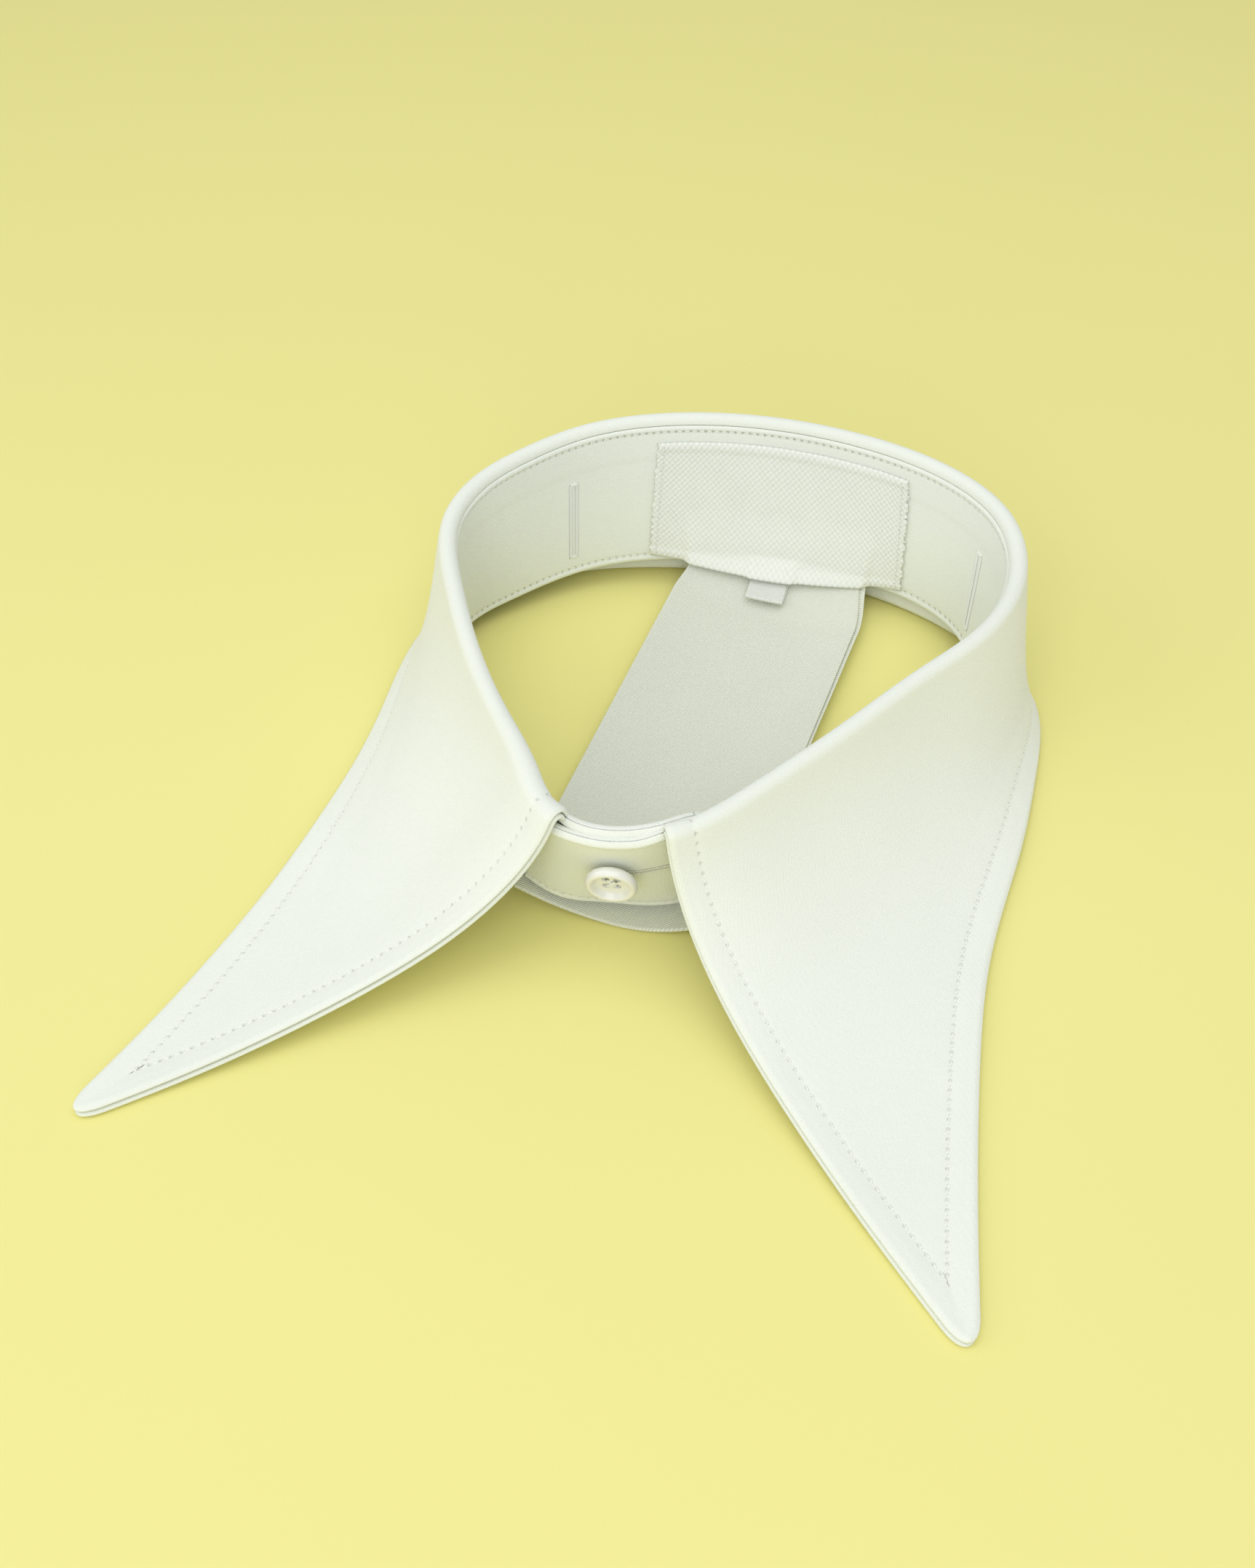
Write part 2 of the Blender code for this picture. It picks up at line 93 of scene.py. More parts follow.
# sizes that every piece shares
cut = {
    "ply": 1.0,              # one ply with its fused interlining
    "gap": 0.3,              # between two pieces
    "face": 0.85,            # from a wall's middle to its pressed face, less than at the turned edges
    "bandTall": 35.0,        # of the band's wall at the back
    "tabReach": 22.5,        # from the middle of the front to each rounded band end
    "cornerReach": 10.5,     # and to the leaf's front corners
    "lap": 2.2,              # how far the buttoned tab lies in front
    "lapFrom": 110.0,
    "lapTo": 168.0,
    "flare": 1.0,            # and how much further its loose end stands off
    "flareFrom": 5.0,
    "flareRun": 10.0,
    "tabDrop": 1.0,
    "tabDropRun": 6.0,
    "riser": 0.2,            # leaf's straight rise before it rolls over
    "footRounding": 3.0,
    "topRounding": 9.0,
    "floorGap": 0.03,
}


def spline(knots, values, at):
    # natural cubic through the rows: slope and bend run on from one stretch to the next
    h = np.diff(knots)
    count = len(knots)
    matrix = np.eye(count)
    right = np.zeros((count, values.shape[1]))
    for i in range(1, count - 1):
        matrix[i, i - 1:i + 2] = h[i - 1], 2 * (h[i - 1] + h[i]), h[i]
        right[i] = 6 * ((values[i + 1] - values[i]) / h[i] - (values[i] - values[i - 1]) / h[i - 1])
    bend = np.linalg.solve(matrix, right)
    i = np.clip(np.searchsorted(knots, at, side="right") - 1, 0, count - 2)
    a = ((knots[i + 1] - at) / h[i])[:, None]
    b = 1 - a
    curve = a * values[i] + b * values[i + 1]
    return curve + ((a**3 - a) * bend[i] + (b**3 - b) * bend[i + 1]) * (h[i]**2 / 6)[:, None]


def neckLine():
    # the neck table as fine points by arc length, some rows repeated past each end of the loop
    wrap, count = 5, 4000
    rows = np.vstack([neckTable[-wrap:], neckTable, neckTable[:wrap + 1]])
    chord = np.r_[0, np.cumsum(np.linalg.norm(np.diff(rows[:, :2], axis=0), axis=1))]
    fine = np.linspace(chord[0], chord[-1], count)
    points = spline(chord, rows, fine)
    length = np.r_[0, np.cumsum(np.linalg.norm(np.diff(points[:, :2], axis=0), axis=1))]
    start = np.interp(chord[wrap], fine, length)
    around = np.interp(chord[wrap + len(neckTable)], fine, length) - start
    return length - start, points, around


neckLength, neckPoints, neckAround = neckLine()
halfSeam = neckAround / 2 - cut["cornerReach"]
halfBand = neckAround / 2 + cut["tabReach"]
wallHalf = cut["ply"] + cut["gap"] / 2


def unit(v):
    return v / np.maximum(np.linalg.norm(v, axis=-1, keepdims=True), 1e-12)


def smoothStep(value):
    value = np.clip(value, 0, 1)
    return value * value * (3 - 2 * value)


def ridge(value, centre, width):
    # a smooth bump of height 1 at centre, as wide as width on each side
    return smoothStep(1 - np.abs(value - centre) / width)


def swell(value, bump):
    # a ridge by its height, centre and width
    height, centre, width = bump
    return height * ridge(value, centre, width)


def standEdges(s):
    # the wall's top and foot lines and the way out: the neck line moved out by the wall and by the tab's lap,
    # and the foot by the row's own lean; s runs along the band from the centre back, positive to the right
    place = s + neckAround / 2
    step = 0.5

    def read(at):
        return np.array([np.interp(at, neckLength, column) for column in neckPoints.T]).T

    rows = read(place)
    along = unit((read(place + step) - read(place - step))[:, :2])
    out = np.c_[-along[:, 1], along[:, 0], np.zeros(len(s))]
    lap = cut["lap"] * smoothStep((s - cut["lapFrom"]) / (cut["lapTo"] - cut["lapFrom"]))
    lap = lap + cut["flare"] * smoothStep((s - neckAround / 2 - cut["flareFrom"]) / cut["flareRun"])
    drop = cut["tabDrop"] * smoothStep((s - halfSeam) / cut["tabDropRun"])
    top = np.c_[rows[:, :2], rows[:, 2] - drop] + out * (wallHalf + lap)[:, None]
    foot = np.c_[rows[:, :2], rows[:, 4]] + out * (wallHalf + lap - rows[:, 3])[:, None]
    return top, foot, out


def roundCorner(a, b, reach):
    # distances from the two edges at a corner, moved by the square to disc mapping into an arc
    p = np.clip(1 - a / reach, 0, 1)
    q = np.clip(1 - b / reach, 0, 1)
    newA = np.where(a < reach, reach * (1 - p * np.sqrt(1 - q * q / 2)), a)
    newB = np.where(b < reach, reach * (1 - q * np.sqrt(1 - p * p / 2)), b)
    return newA, newB


def standPoint(s, v):
    # straight between the two lines: v runs from 0 at the band's foot to 1 at its top
    top, foot = standEdges(s.ravel())[:2]
    return (foot + (top - foot) * v.ravel()[:, None]).reshape(s.shape + (3,))


def leafPoint(u, q):
    # q runs 0 to 1 up the riser, 1 to 2 round the roll, 2 to 3 down a cubic curve to the hem
    shape = u.shape
    u, q = u.ravel(), q.ravel()
    row = spline(leafTable[:, 0], leafTable[:, 1:], u)
    radius, drop, lie, bow = row[:, 2, None], row[:, 4, None], row[:, 5, None], row[:, 6, None]
    fall, arrive = np.radians(row[:, 3, None]), np.radians(row[:, 7, None].clip(0))
    top, foot, out = standEdges(u * halfSeam)
    up = np.array([0.0, 0.0, 1.0])
    rise = unit(top - foot)
    side = unit(out - rise * (out * rise).sum(1)[:, None])
    lean = np.arctan2((rise * out).sum(1), rise[:, 2])[:, None]
    start = top + rise * cut["gap"]
    centre = start + rise * cut["riser"] + side * radius
    turn = math.pi / 2 - lean + fall
    risen = start + rise * cut["riser"] * q.clip(-1.5, 1)[:, None]
    angle = turn * (q - 1).clip(0, 1)[:, None]
    rolled = centre + radius * (rise * np.sin(angle) - side * np.cos(angle))
    p0 = centre + radius * (rise * np.sin(turn) - side * np.cos(turn))
    hem = np.c_[row[:, :2], wallHalf * np.cos(arrive).clip(0, 1) + cut["floorGap"]]
    back = unit((p0 - hem) * np.array([1.0, 1.0, 0.0]))
    across = np.c_[-back[:, 1], back[:, 0], np.zeros(len(u))] * np.sign(u)[:, None]
    p1 = p0 + (out * np.cos(fall) - up * np.sin(fall)) * drop
    p2 = hem + lie * (back * np.cos(arrive) + up * np.sin(arrive)) + across * bow
    t = (q - 2).clip(0, 1)[:, None]
    fallen = (1 - t)**3 * p0 + 3 * t * (1 - t)**2 * p1 + 3 * t**2 * (1 - t) * p2 + t**3 * hem
    q = q[:, None]
    return np.where(q < 1, risen, np.where(q < 2, rolled, fallen)).reshape(shape + (3,))


def slopeNormal(surface, a, b, stepA, stepB):
    # unit normal of a surface from small steps either way in its two parameters
    along = surface(a + stepA, b) - surface(a - stepA, b)
    across = surface(a, b + stepB) - surface(a, b - stepB)
    return unit(np.cross(along, across))


def runningLength(points, axis):
    # arc length along one direction of a grid, from its first line
    step = np.linalg.norm(np.diff(points, axis=axis), axis=2)
    pad = [(0, 0), (0, 0)]
    pad[axis] = (1, 0)
    return np.pad(np.cumsum(step, axis=axis), pad)


def softWaves(points, waves):
    # slow unevenness of hand-pressed cloth: a few sine waves in turned directions, by height, length and seed
    height, length, seed = waves
    rng = np.random.default_rng(seed)
    total, count = 0, 5
    for k in range(count):
        direction = unit(rng.normal(size=3)) * 2 * math.pi / (length * rng.uniform(0.7, 1.6))
        total = total + np.sin(points @ direction + rng.uniform(0, 2 * math.pi))
    return total / count * height


def addMap(mesh, label, flat):
    # a map from its values at the mesh's points
    corner = np.empty(len(mesh.loops), np.int32)
    mesh.loops.foreach_get("vertex_index", corner)
    mesh.uv_layers.new(name=label).data.foreach_set("uv", flat[corner].astype(np.float32).ravel())


def makeMesh(name, points, faces, material, uv=None):
    # points are in table millimetres; the finished piece's place is in its mesh
    mesh = bpy.data.meshes.new(name)
    places = ((points + tableShift) * mm).tolist()
    mesh.from_pydata(places, [], faces if isinstance(faces, list) else faces.tolist())
    mesh.materials.append(material)
    if uv is not None:
        addMap(mesh, "clothMap", uv)
    mesh.shade_smooth()
    mesh.update()
    piece = bpy.data.objects.new(name, mesh)
    bpy.context.scene.collection.objects.link(piece)
    return piece


def gridQuads(index):
    # the four corners of each cell of a grid
    return np.stack([index[:-1, :-1], index[1:, :-1], index[1:, 1:], index[:-1, 1:]], axis=2).reshape(-1, 4)


def bothFaces(front, rear):
    # values at a ply's points: all of its front grid, then the inner ones of its rear
    size = front.shape[-1]
    return np.concatenate([front.reshape(-1, size), rear[1:-1, 1:-1].reshape(-1, size)])


def sewnPly(name, middle, normal, outer, inner, uv, material):
    # one closed ply: its two faces stand outer and inner millimetres off a middle grid, and share the border
    rows, columns = middle.shape[:2]
    front = np.arange(rows * columns).reshape(rows, columns)
    rear = front.copy()
    rear[1:-1, 1:-1] = rows * columns + np.arange((rows - 2) * (columns - 2)).reshape(rows - 2, columns - 2)
    points = bothFaces(middle + normal * outer[..., None], middle + normal * inner[..., None])
    points[:, 2] = np.maximum(points[:, 2], cut["floorGap"])
    faces = np.concatenate([gridQuads(front), gridQuads(rear)[:, ::-1]])
    return makeMesh(name, points, faces, material, bothFaces(uv, uv))


def edgeRound(distance, radius):
    # share of a ply's half thickness left at a distance from its edge: a quarter circle
    return np.sqrt(1 - np.clip(1 - distance / radius, 0, 1)**2)


def gridNormal(points):
    # unit normal of a grid from the differences between its neighbours
    return unit(np.cross(np.gradient(points, axis=0), np.gradient(points, axis=1)))


def addNode(tree, kind, inputs=None, **settings):
    # a node with its settings; its inputs are numbers or the sockets that feed them
    made = tree.nodes.new(kind)
    for name, value in settings.items():
        setattr(made, name, value)
    for name, value in (inputs or {}).items():
        if isinstance(value, bpy.types.NodeSocket):
            tree.links.new(value, made.inputs[name])
        else:
            made.inputs[name].default_value = value
    return made


def mathNode(tree, operation, *values):
    # a calculation on numbers or sockets
    return addNode(tree, "ShaderNodeMath", dict(enumerate(values)), operation=operation).outputs[0]


def groupNode(tree, group, **inputs):
    return addNode(tree, "ShaderNodeGroup", inputs, node_tree=group)


def splitXYZ(tree, socket):
    return addNode(tree, "ShaderNodeSeparateXYZ", {0: socket}).outputs


def addGroup(name, inputs, outputs):
    # a node group with its kinds of sockets by name; its given values and its wanted inputs
    tree = bpy.data.node_groups.new(name, "ShaderNodeTree")
    for way, sockets in (("INPUT", inputs), ("OUTPUT", outputs)):
        for label, kind in sockets.items():
            tree.interface.new_socket(label, in_out=way, socket_type="NodeSocket" + kind)
    return tree, tree.nodes.new("NodeGroupInput").outputs, tree.nodes.new("NodeGroupOutput").inputs


def fibreNoise(tree, scale, detail=3.0, roughness=0.6):
    # clouds or fibres of the object's own space
    place = addNode(tree, "ShaderNodeTexCoord").outputs["Object"]
    return addNode(tree, "ShaderNodeTexNoise", {"Vector": place, "Scale": scale, "Detail": detail,
                                                "Roughness": roughness}).outputs[0]


def weaveGroup():
    # over and under of two thread directions as a height from 0 to 1, on a map in millimetres
    tree, given, wanted = addGroup("clothWeave", {"Map": "Vector", "Pitch": "Float"}, {"Height": "Float"})
    angle = mathNode(tree, "DIVIDE", math.pi, given["Pitch"])
    scaled = addNode(tree, "ShaderNodeVectorMath", {0: given["Map"], "Scale": angle}, operation="SCALE")
    place = splitXYZ(tree, scaled.outputs[0])
    both = mathNode(tree, "MULTIPLY", mathNode(tree, "SINE", place["X"]), mathNode(tree, "SINE", place["Y"]))
    tree.links.new(mathNode(tree, "MULTIPLY_ADD", both, 0.5, 0.5), wanted["Height"])
    return tree


def twillGroup():
    # slanting ribs of a satin or twill as a height from 0 to 1
    tree, given, wanted = addGroup("satinTwill", {"Map": "Vector", "Pitch": "Float", "Slant": "Float"},
                                   {"Height": "Float"})
    place = splitXYZ(tree, given["Map"])
    slid = mathNode(tree, "MULTIPLY_ADD", place["Y"], given["Slant"], place["X"])
    turn = mathNode(tree, "DIVIDE", 2 * math.pi, given["Pitch"])
    wave = mathNode(tree, "SINE", mathNode(tree, "MULTIPLY", slid, turn))
    tree.links.new(mathNode(tree, "MULTIPLY_ADD", wave, 0.5, 0.5), wanted["Height"])
    return tree


def dimpleGroup():
    # needle dimples along a sewn line: the map's X is the place along it and Y the distance from it
    tree, given, wanted = addGroup("stitchDimples", {"Line": "Vector", "Pitch": "Float", "Reach": "Float"},
                                   {"Mask": "Float", "Height": "Float"})
    place = splitXYZ(tree, given["Line"])
    near = addNode(tree, "ShaderNodeMapRange", {"Value": mathNode(tree, "ABSOLUTE", place["Y"]),
                                                "From Min": given["Reach"], "From Max": 0.0,
                                                "To Min": 0.0, "To Max": 1.0},
                   interpolation_type="SMOOTHSTEP").outputs[0]
    turn = mathNode(tree, "DIVIDE", 2 * math.pi, given["Pitch"])
    wave = mathNode(tree, "COSINE", mathNode(tree, "MULTIPLY", place["X"], turn))
    deep = mathNode(tree, "POWER", mathNode(tree, "MULTIPLY_ADD", wave, 0.5, 0.5), 4.0)
    mask = mathNode(tree, "MULTIPLY", near, deep)
    tree.links.new(mask, wanted["Mask"])
    tree.links.new(mathNode(tree, "SUBTRACT", 1.0, mask), wanted["Height"])
    return tree


def mottleGroup():
    # a colour between two close ones, in soft clouds of the object's own space
    tree, given, wanted = addGroup("softMottle", {"Pale": "Color", "Deep": "Color", "Size": "Float"},
                                   {"Color": "Color", "Mask": "Float"})
    cloud = fibreNoise(tree, mathNode(tree, "DIVIDE", 1.0, given["Size"]), 4.0, 0.55)
    mixed = addNode(tree, "ShaderNodeMix", {0: cloud, 6: given["Pale"], 7: given["Deep"]}, data_type="RGBA")
    tree.links.new(mixed.outputs[2], wanted["Color"])
    tree.links.new(cloud, wanted["Mask"])
    return tree


weaveTree, twillTree, dimpleTree, mottleTree = weaveGroup(), twillGroup(), dimpleGroup(), mottleGroup()


def newMaterial(name, values):
    # a Principled surface of mottled colour, with the uniform numbers of its finish set on it
    made = bpy.data.materials.new(name)
    made.use_nodes = True
    tree = made.node_tree
    shader = tree.nodes["Principled BSDF"]
    colour = groupNode(tree, mottleTree, Pale=values["pale"] + (1.0,), Deep=values["deep"] + (1.0,),
                       Size=values["mottle"]).outputs
    tree.links.new(colour["Color"], shader.inputs["Base Color"])
    for socket, value in values["finish"].items():
        shader.inputs[socket].default_value = value
    return made, tree, shader, colour


def shadeWith(tree, shader, colour, mask, tint):
    # painted shade: the colour is multiplied by a darker tint as far as the mask says
    shade = addNode(tree, "ShaderNodeMix", {0: mask, 6: colour, 7: tint + (1.0,)}, data_type="RGBA",
                    blend_type="MULTIPLY")
    tree.links.new(shade.outputs[2], shader.inputs["Base Color"])


def addRelief(tree, shader, heights):
    # bumps of several heights laid one over another: (height socket, depth in metres) each
    normal = None
    for height, depth in heights:
        inputs = {"Height": height, "Distance": depth, "Strength": 1.0}
        if normal is not None:
            inputs["Normal"] = normal
        normal = addNode(tree, "ShaderNodeBump", inputs).outputs["Normal"]
    tree.links.new(normal, shader.inputs["Normal"])


def clothMaterial(name, values):
    # fibres and a weave or twill on the piece's own map, with needle dimples where it is sewn; painted shade
    # darkens the dimples, and the weave where a rib tint is given
    made, tree, shader, colour = newMaterial(name, values)
    flat = addNode(tree, "ShaderNodeUVMap", uv_map="clothMap").outputs["UV"]
    if "slant" in values:
        ribs = groupNode(tree, twillTree, Map=flat, Pitch=values["pitch"], Slant=values["slant"])
    else:
        ribs = groupNode(tree, weaveTree, Map=flat, Pitch=values["pitch"])
    heights = [(fibreNoise(tree, values["fibre"]), values["fibreDepth"] * mm),
               (ribs.outputs["Height"], values["depth"] * mm)]
    if "stitch" in values:
        line = addNode(tree, "ShaderNodeUVMap", uv_map="stitchMap").outputs["UV"]
        holes = groupNode(tree, dimpleTree, Line=line, Pitch=values["stitch"], Reach=values["dimple"]).outputs
        heights.append((holes["Height"], values["dimpleDepth"] * mm))
        # painted shade in the needle dimples
        shadeWith(tree, shader, colour["Color"], holes["Mask"], values["dimplePaintedShade"])
    # painted shade over the weave or twill, darkest where its height is highest
    if "ribPaintedShade" in values:
        shadeWith(tree, shader, colour["Color"], ribs.outputs["Height"], values["ribPaintedShade"])
    addRelief(tree, shader, heights)
    return made


cottonValues = {
    "pale": (0.845, 0.875, 0.790),
    "deep": (0.805, 0.835, 0.750),
    "mottle": 0.03,
    "finish": {"Roughness": 0.9, "Specular IOR Level": 0.25, "Sheen Weight": 0.2, "Sheen Roughness": 0.5},
    "pitch": 0.42,
    "depth": 0.03,
    "fibre": 2600.0,
    "fibreDepth": 0.12,
    "stitch": 2.3,
    "dimple": 0.55,
    "dimpleDepth": 0.25,
    # the tint of the painted shade in the needle dimples
    "dimplePaintedShade": (0.92, 0.92, 0.90),
}
leafCotton = clothMaterial("leafCotton", cottonValues)
bandCotton = clothMaterial("bandCotton", {**cottonValues, "stitch": 1.9})
# the inner stand's needle dimples get deeper painted shade
neckCotton = clothMaterial("neckCotton", {**cottonValues, "stitch": 1.9, "dimplePaintedShade": (0.72, 0.72, 0.69)})
tapeWeave = clothMaterial("tapeWeave", {
    "pale": (0.89, 0.91, 0.845),
    "deep": (0.835, 0.855, 0.79),
    "mottle": 0.006,
    "finish": {"Roughness": 0.8, "Specular IOR Level": 0.3, "Sheen Weight": 0.2},
    "pitch": 0.72,
    "depth": 0.14,
    # the tint of the painted shade over the weave
    "ribPaintedShade": (0.90, 0.90, 0.88),
    "fibre": 4000.0,
    "fibreDepth": 0.08,
})
satinValues = {
    # the tape's cream colour is partly its own and partly painted yellow light from the floor shining through
    # the thin satin
    "pale": (0.86, 0.88, 0.76),
    "deep": (0.80, 0.82, 0.70),
    "mottle": 0.02,
    "finish": {"Roughness": 0.42, "Specular IOR Level": 0.4, "Sheen Weight": 0.1, "Anisotropic": 0.4},
    "pitch": 0.7,
    "slant": 0.9,
    "depth": 0.12,
    # the tint of the painted shade over the twill
    "ribPaintedShade": (0.86, 0.86, 0.85),
    "fibre": 2200.0,
    "fibreDepth": 0.03,
}
satin = clothMaterial("satinTape", satinValues)
tabSatin = clothMaterial("tabSatin", {**satinValues, "pale": (0.90, 0.915, 0.85), "deep": (0.86, 0.875, 0.81),
                                      "pitch": 0.5, "ribPaintedShade": (0.92, 0.92, 0.91)})


def smoothMaterial(name, values):
    # sewing thread or shell: fine fibres where it has them, and otherwise the relief of its mottle
    made, tree, shader, colour = newMaterial(name, values)
    height = fibreNoise(tree, values["fibre"]) if "fibre" in values else colour["Mask"]
    addRelief(tree, shader, [(height, values["depth"] * mm)])
    return made


thread = smoothMaterial("sewingThread", {
    "pale": (0.89, 0.91, 0.84),
    "deep": (0.85, 0.87, 0.80),
    "mottle": 0.003,
    "finish": {"Roughness": 0.65, "Specular IOR Level": 0.35, "Sheen Weight": 0.3},
    "fibre": 6000.0,
    "depth": 0.05,
})
shell = smoothMaterial("shellPearl", {
    "pale": (0.90, 0.90, 0.87),
    "deep": (0.80, 0.81, 0.76),
    "mottle": 0.004,
    "finish": {"Roughness": 0.28, "Specular IOR Level": 0.5, "Coat Weight": 0.5, "Coat Roughness": 0.12},
    "depth": 0.03,
})
print("collar: materials made")


def threadBeads(name, centres, along, normal, length, radius, sink=0.35):
    # one short round of thread for each centre, its two ends sinking into the cloth
    rings, sides = 7, 6
    share = np.linspace(-1, 1, rings + 2)[1:-1]
    angle = np.arange(sides) * 2 * math.pi / sides
    wide = radius * np.sqrt(1 - share**4)
    local = np.stack([
        np.repeat(share * length / 2, sides),
        (wide[:, None] * np.cos(angle)).ravel(),
        (wide[:, None] * np.sin(angle) - sink * radius * share[:, None]**2 * 2).ravel(),
    ], axis=1)
    ends = np.array([[-length / 2, 0, -2 * sink * radius], [length / 2, 0, -2 * sink * radius]])
    local = np.concatenate([local, ends])
    across = unit(np.cross(normal, along))
    frames = np.stack([unit(along), across, normal], axis=1)
    points = centres[:, None] + np.einsum("pk,nkd->npd", local, frames)
    ring = np.arange(rings * sides).reshape(rings, sides)
    following = np.roll(ring, -1, axis=1)
    quads = np.stack([ring[:-1], ring[1:], following[1:], following[:-1]], axis=2).reshape(-1, 4)[:, ::-1]
    first, last = rings * sides, rings * sides + 1
    fans = [[first, a, b] for a, b in zip(ring[0], following[0])]
    fans += [[last, b, a] for a, b in zip(ring[-1], following[-1])]
    faces = []
    for k in range(len(centres)):
        start = k * len(local)
        faces += (quads + start).tolist()
        faces += [[corner + start for corner in fan] for fan in fans]
    return makeMesh(name, points.reshape(-1, 3), faces, thread)


def alongPath(points, normals, pitch, closed=False):
    # evenly spaced places on a path of points, with its direction and normal there
    if closed:
        points, normals = np.vstack([points, points[:1]]), np.vstack([normals, normals[:1]])
    length = np.r_[0, np.cumsum(np.linalg.norm(np.diff(points, axis=0), axis=1))]
    count = int(length[-1] / pitch)
    at = (np.arange(count) + 0.5) * length[-1] / count

    def read(values, where):
        return np.stack([np.interp(where, length, column) for column in values.T], axis=1)

    step = 0.3
    way = unit(read(points, np.minimum(at + step, length[-1])) - read(points, np.maximum(at - step, 0)))
    return read(points, at), way, unit(read(normals, at))


def joined(pieces, name):
    # several meshes of one material as one
    target = pieces[0]
    with bpy.context.temp_override(active_object=target, object=target, selected_objects=pieces,
                                   selected_editable_objects=pieces):
        bpy.ops.object.join()
    target.name = name
    target.data.name = name
    return target


def addStitchMap(piece, run, gap):
    # the place along the nearest row of stitches, and the distance from it
    line = np.stack([run, gap], axis=-1)
    addMap(piece.data, "stitchMap", bothFaces(line, line))


def rowAt(rows, distance):
    # which grid row lies at a distance from the edge
    return int(np.flatnonzero(rows == distance)[0])


# the leaf: two plies over one middle surface, topstitched along the two front edges and the hem
leafShape = {
    "border": 12.0,          # a strip this wide along each edge keeps even rows
    "stitchIn": 6.0,
    "stitchPitch": 2.3,
    "threadLength": 1.7,
    "threadRadius": 0.14,
    "puff": (0.34, 2.6, 3.2),          # a swelling's height, distance from the edge and reach
    "edgePuff": (0.3, 1.0, 1.5),
    "groove": 0.07,
    "grooveReach": 1.1,
    "edgeRadius": 0.9,       # of the turned edges outside, between the plies, and where it is sewn on
    "innerRadius": 0.7,
    "seamRadius": 0.3,
    "seamRun": 0.6,
    "edgeApart": 0.72,       # of each ply's turned edge from the middle between them
    "proud": 0.6,            # of the turned front edges over the cut line
    "underProud": 0.35,      # and how much further the under ply's reach
    "inset": 0.3,            # of the under ply's hem behind the upper ply's
    "tipReach": 6.8,
    "seamRows": (-1.4, -1.0, -0.4, 0.3, 1.0),
    "rollRows": 14,
    "fallRows": 30,
    "interiorColumns": 300,
    "waves": (0.35, 42.0, 3),          # height, length and seed
    "waveFrom": 1.8,
    "waveRun": 0.6,
    "pucker": (0.14, 8.0, 8),
    "puckerReach": 6.0,
}
borderSteps = np.array([0, 0.08, 0.25, 0.5, 0.9, 1.4, 2.0, 2.7, 3.4, 4.1, 4.7, 5.2, 5.6, 5.85, 6.0, 6.15, 6.4,
                        6.8, 7.4, 8.2, 9.3, 10.6, 12.0])


def hemTable(inset):
    # for sections all along the leaf: the fall's parameter at each border step in from the hem, by arc length
    # times the sine of the angle at which the section meets the hem
    sections = np.linspace(-1, 1, 241)
    t = np.linspace(0, 1, 161)
    points = leafPoint(*np.meshgrid(sections, 2 + t, indexing="ij"))
    length = runningLength(points, 1)
    fromHem = length[:, -1:] - length
    edgeWay = unit(np.gradient(points[:, -1], axis=0))
    hemWay = unit(points[:, -1] - points[:, -4])
    slant = np.sqrt(1 - ((edgeWay * hemWay).sum(1))**2)
    fromHem = fromHem * slant[:, None]
    found = np.array([np.interp(borderSteps + inset, row[::-1], t[::-1]) for row in fromHem])
    return sections, found


def leafStations(inset):
    # u and q of every grid point, and its distances from the nearer front edge and from the hem
    sections, hemAt = hemTable(inset)
    border = leafShape["border"]
    rows = leafShape["fallRows"]
    arc = 1 + np.linspace(0, 1, leafShape["rollRows"] + 1)[1:]
    count = len(borderSteps)
    share = np.linspace(0, 1, leafShape["interiorColumns"])
    # columns spread evenly along the hem between the two border strips
    fine = np.linspace(-1, 1, 2001)
    hem = leafPoint(fine, np.full(len(fine), 3.0))
    hemLength = np.r_[0, np.cumsum(np.linalg.norm(np.diff(hem, axis=0), axis=1))] / 2
    hemLength = hemLength / hemLength[-1]
    seamShare = (fine + 1) / 2
    even = np.interp(share, (hemLength + seamShare) / 2, seamShare)
    away = np.concatenate([borderSteps, np.full(len(share) - 2, np.inf), borderSteps[::-1]])
    fallStart = np.linspace(0, 1, rows, endpoint=False)[1:]
    kinds = [("fixed", q) for q in (*leafShape["seamRows"], *arc)]
    kinds += [("fall", g) for g in fallStart] + [("hem", k) for k in range(count - 1, -1, -1)]
    u, q, fromHem = [], [], []
    step = 1e-4
    for kind, value in kinds:
        def rowQ(at):
            if kind == "fixed":
                return np.full(len(at), value)
            if kind == "fall":
                return 2 + value * np.interp(at, sections, hemAt[:, -1])
            return 2 + np.interp(at, sections, hemAt[:, value])

        ends = []
        for side in (-1.0, 1.0):
            at = np.array([side, side - side * step])
            here = rowQ(at)
            pair = leafPoint(at, here)
            edge = leafPoint(at[:1], here[:1] + 0.01) - leafPoint(at[:1], here[:1] - 0.01)
            speed = np.linalg.norm(np.cross((pair[1] - pair[0]) / step, unit(edge[0])))
            ends.append(border / speed)
        further = leafShape["underProud"] if inset > 0 else 0.0
        fromCut = (borderSteps - further - leafShape["proud"]) / border
        left = -1 + fromCut * ends[0]
        right = 1 - fromCut[::-1] * ends[1]
        middle = left[-1] + even[1:-1] * (right[0] - left[-1])
        columns = np.concatenate([left, middle, right])
        u.append(columns)
        q.append(rowQ(columns))
        fromHem.append(borderSteps[value] if kind == "hem" else np.inf)
    u, q = np.array(u).T, np.array(q).T
    return u, q, away, np.array(fromHem), hemAt, sections


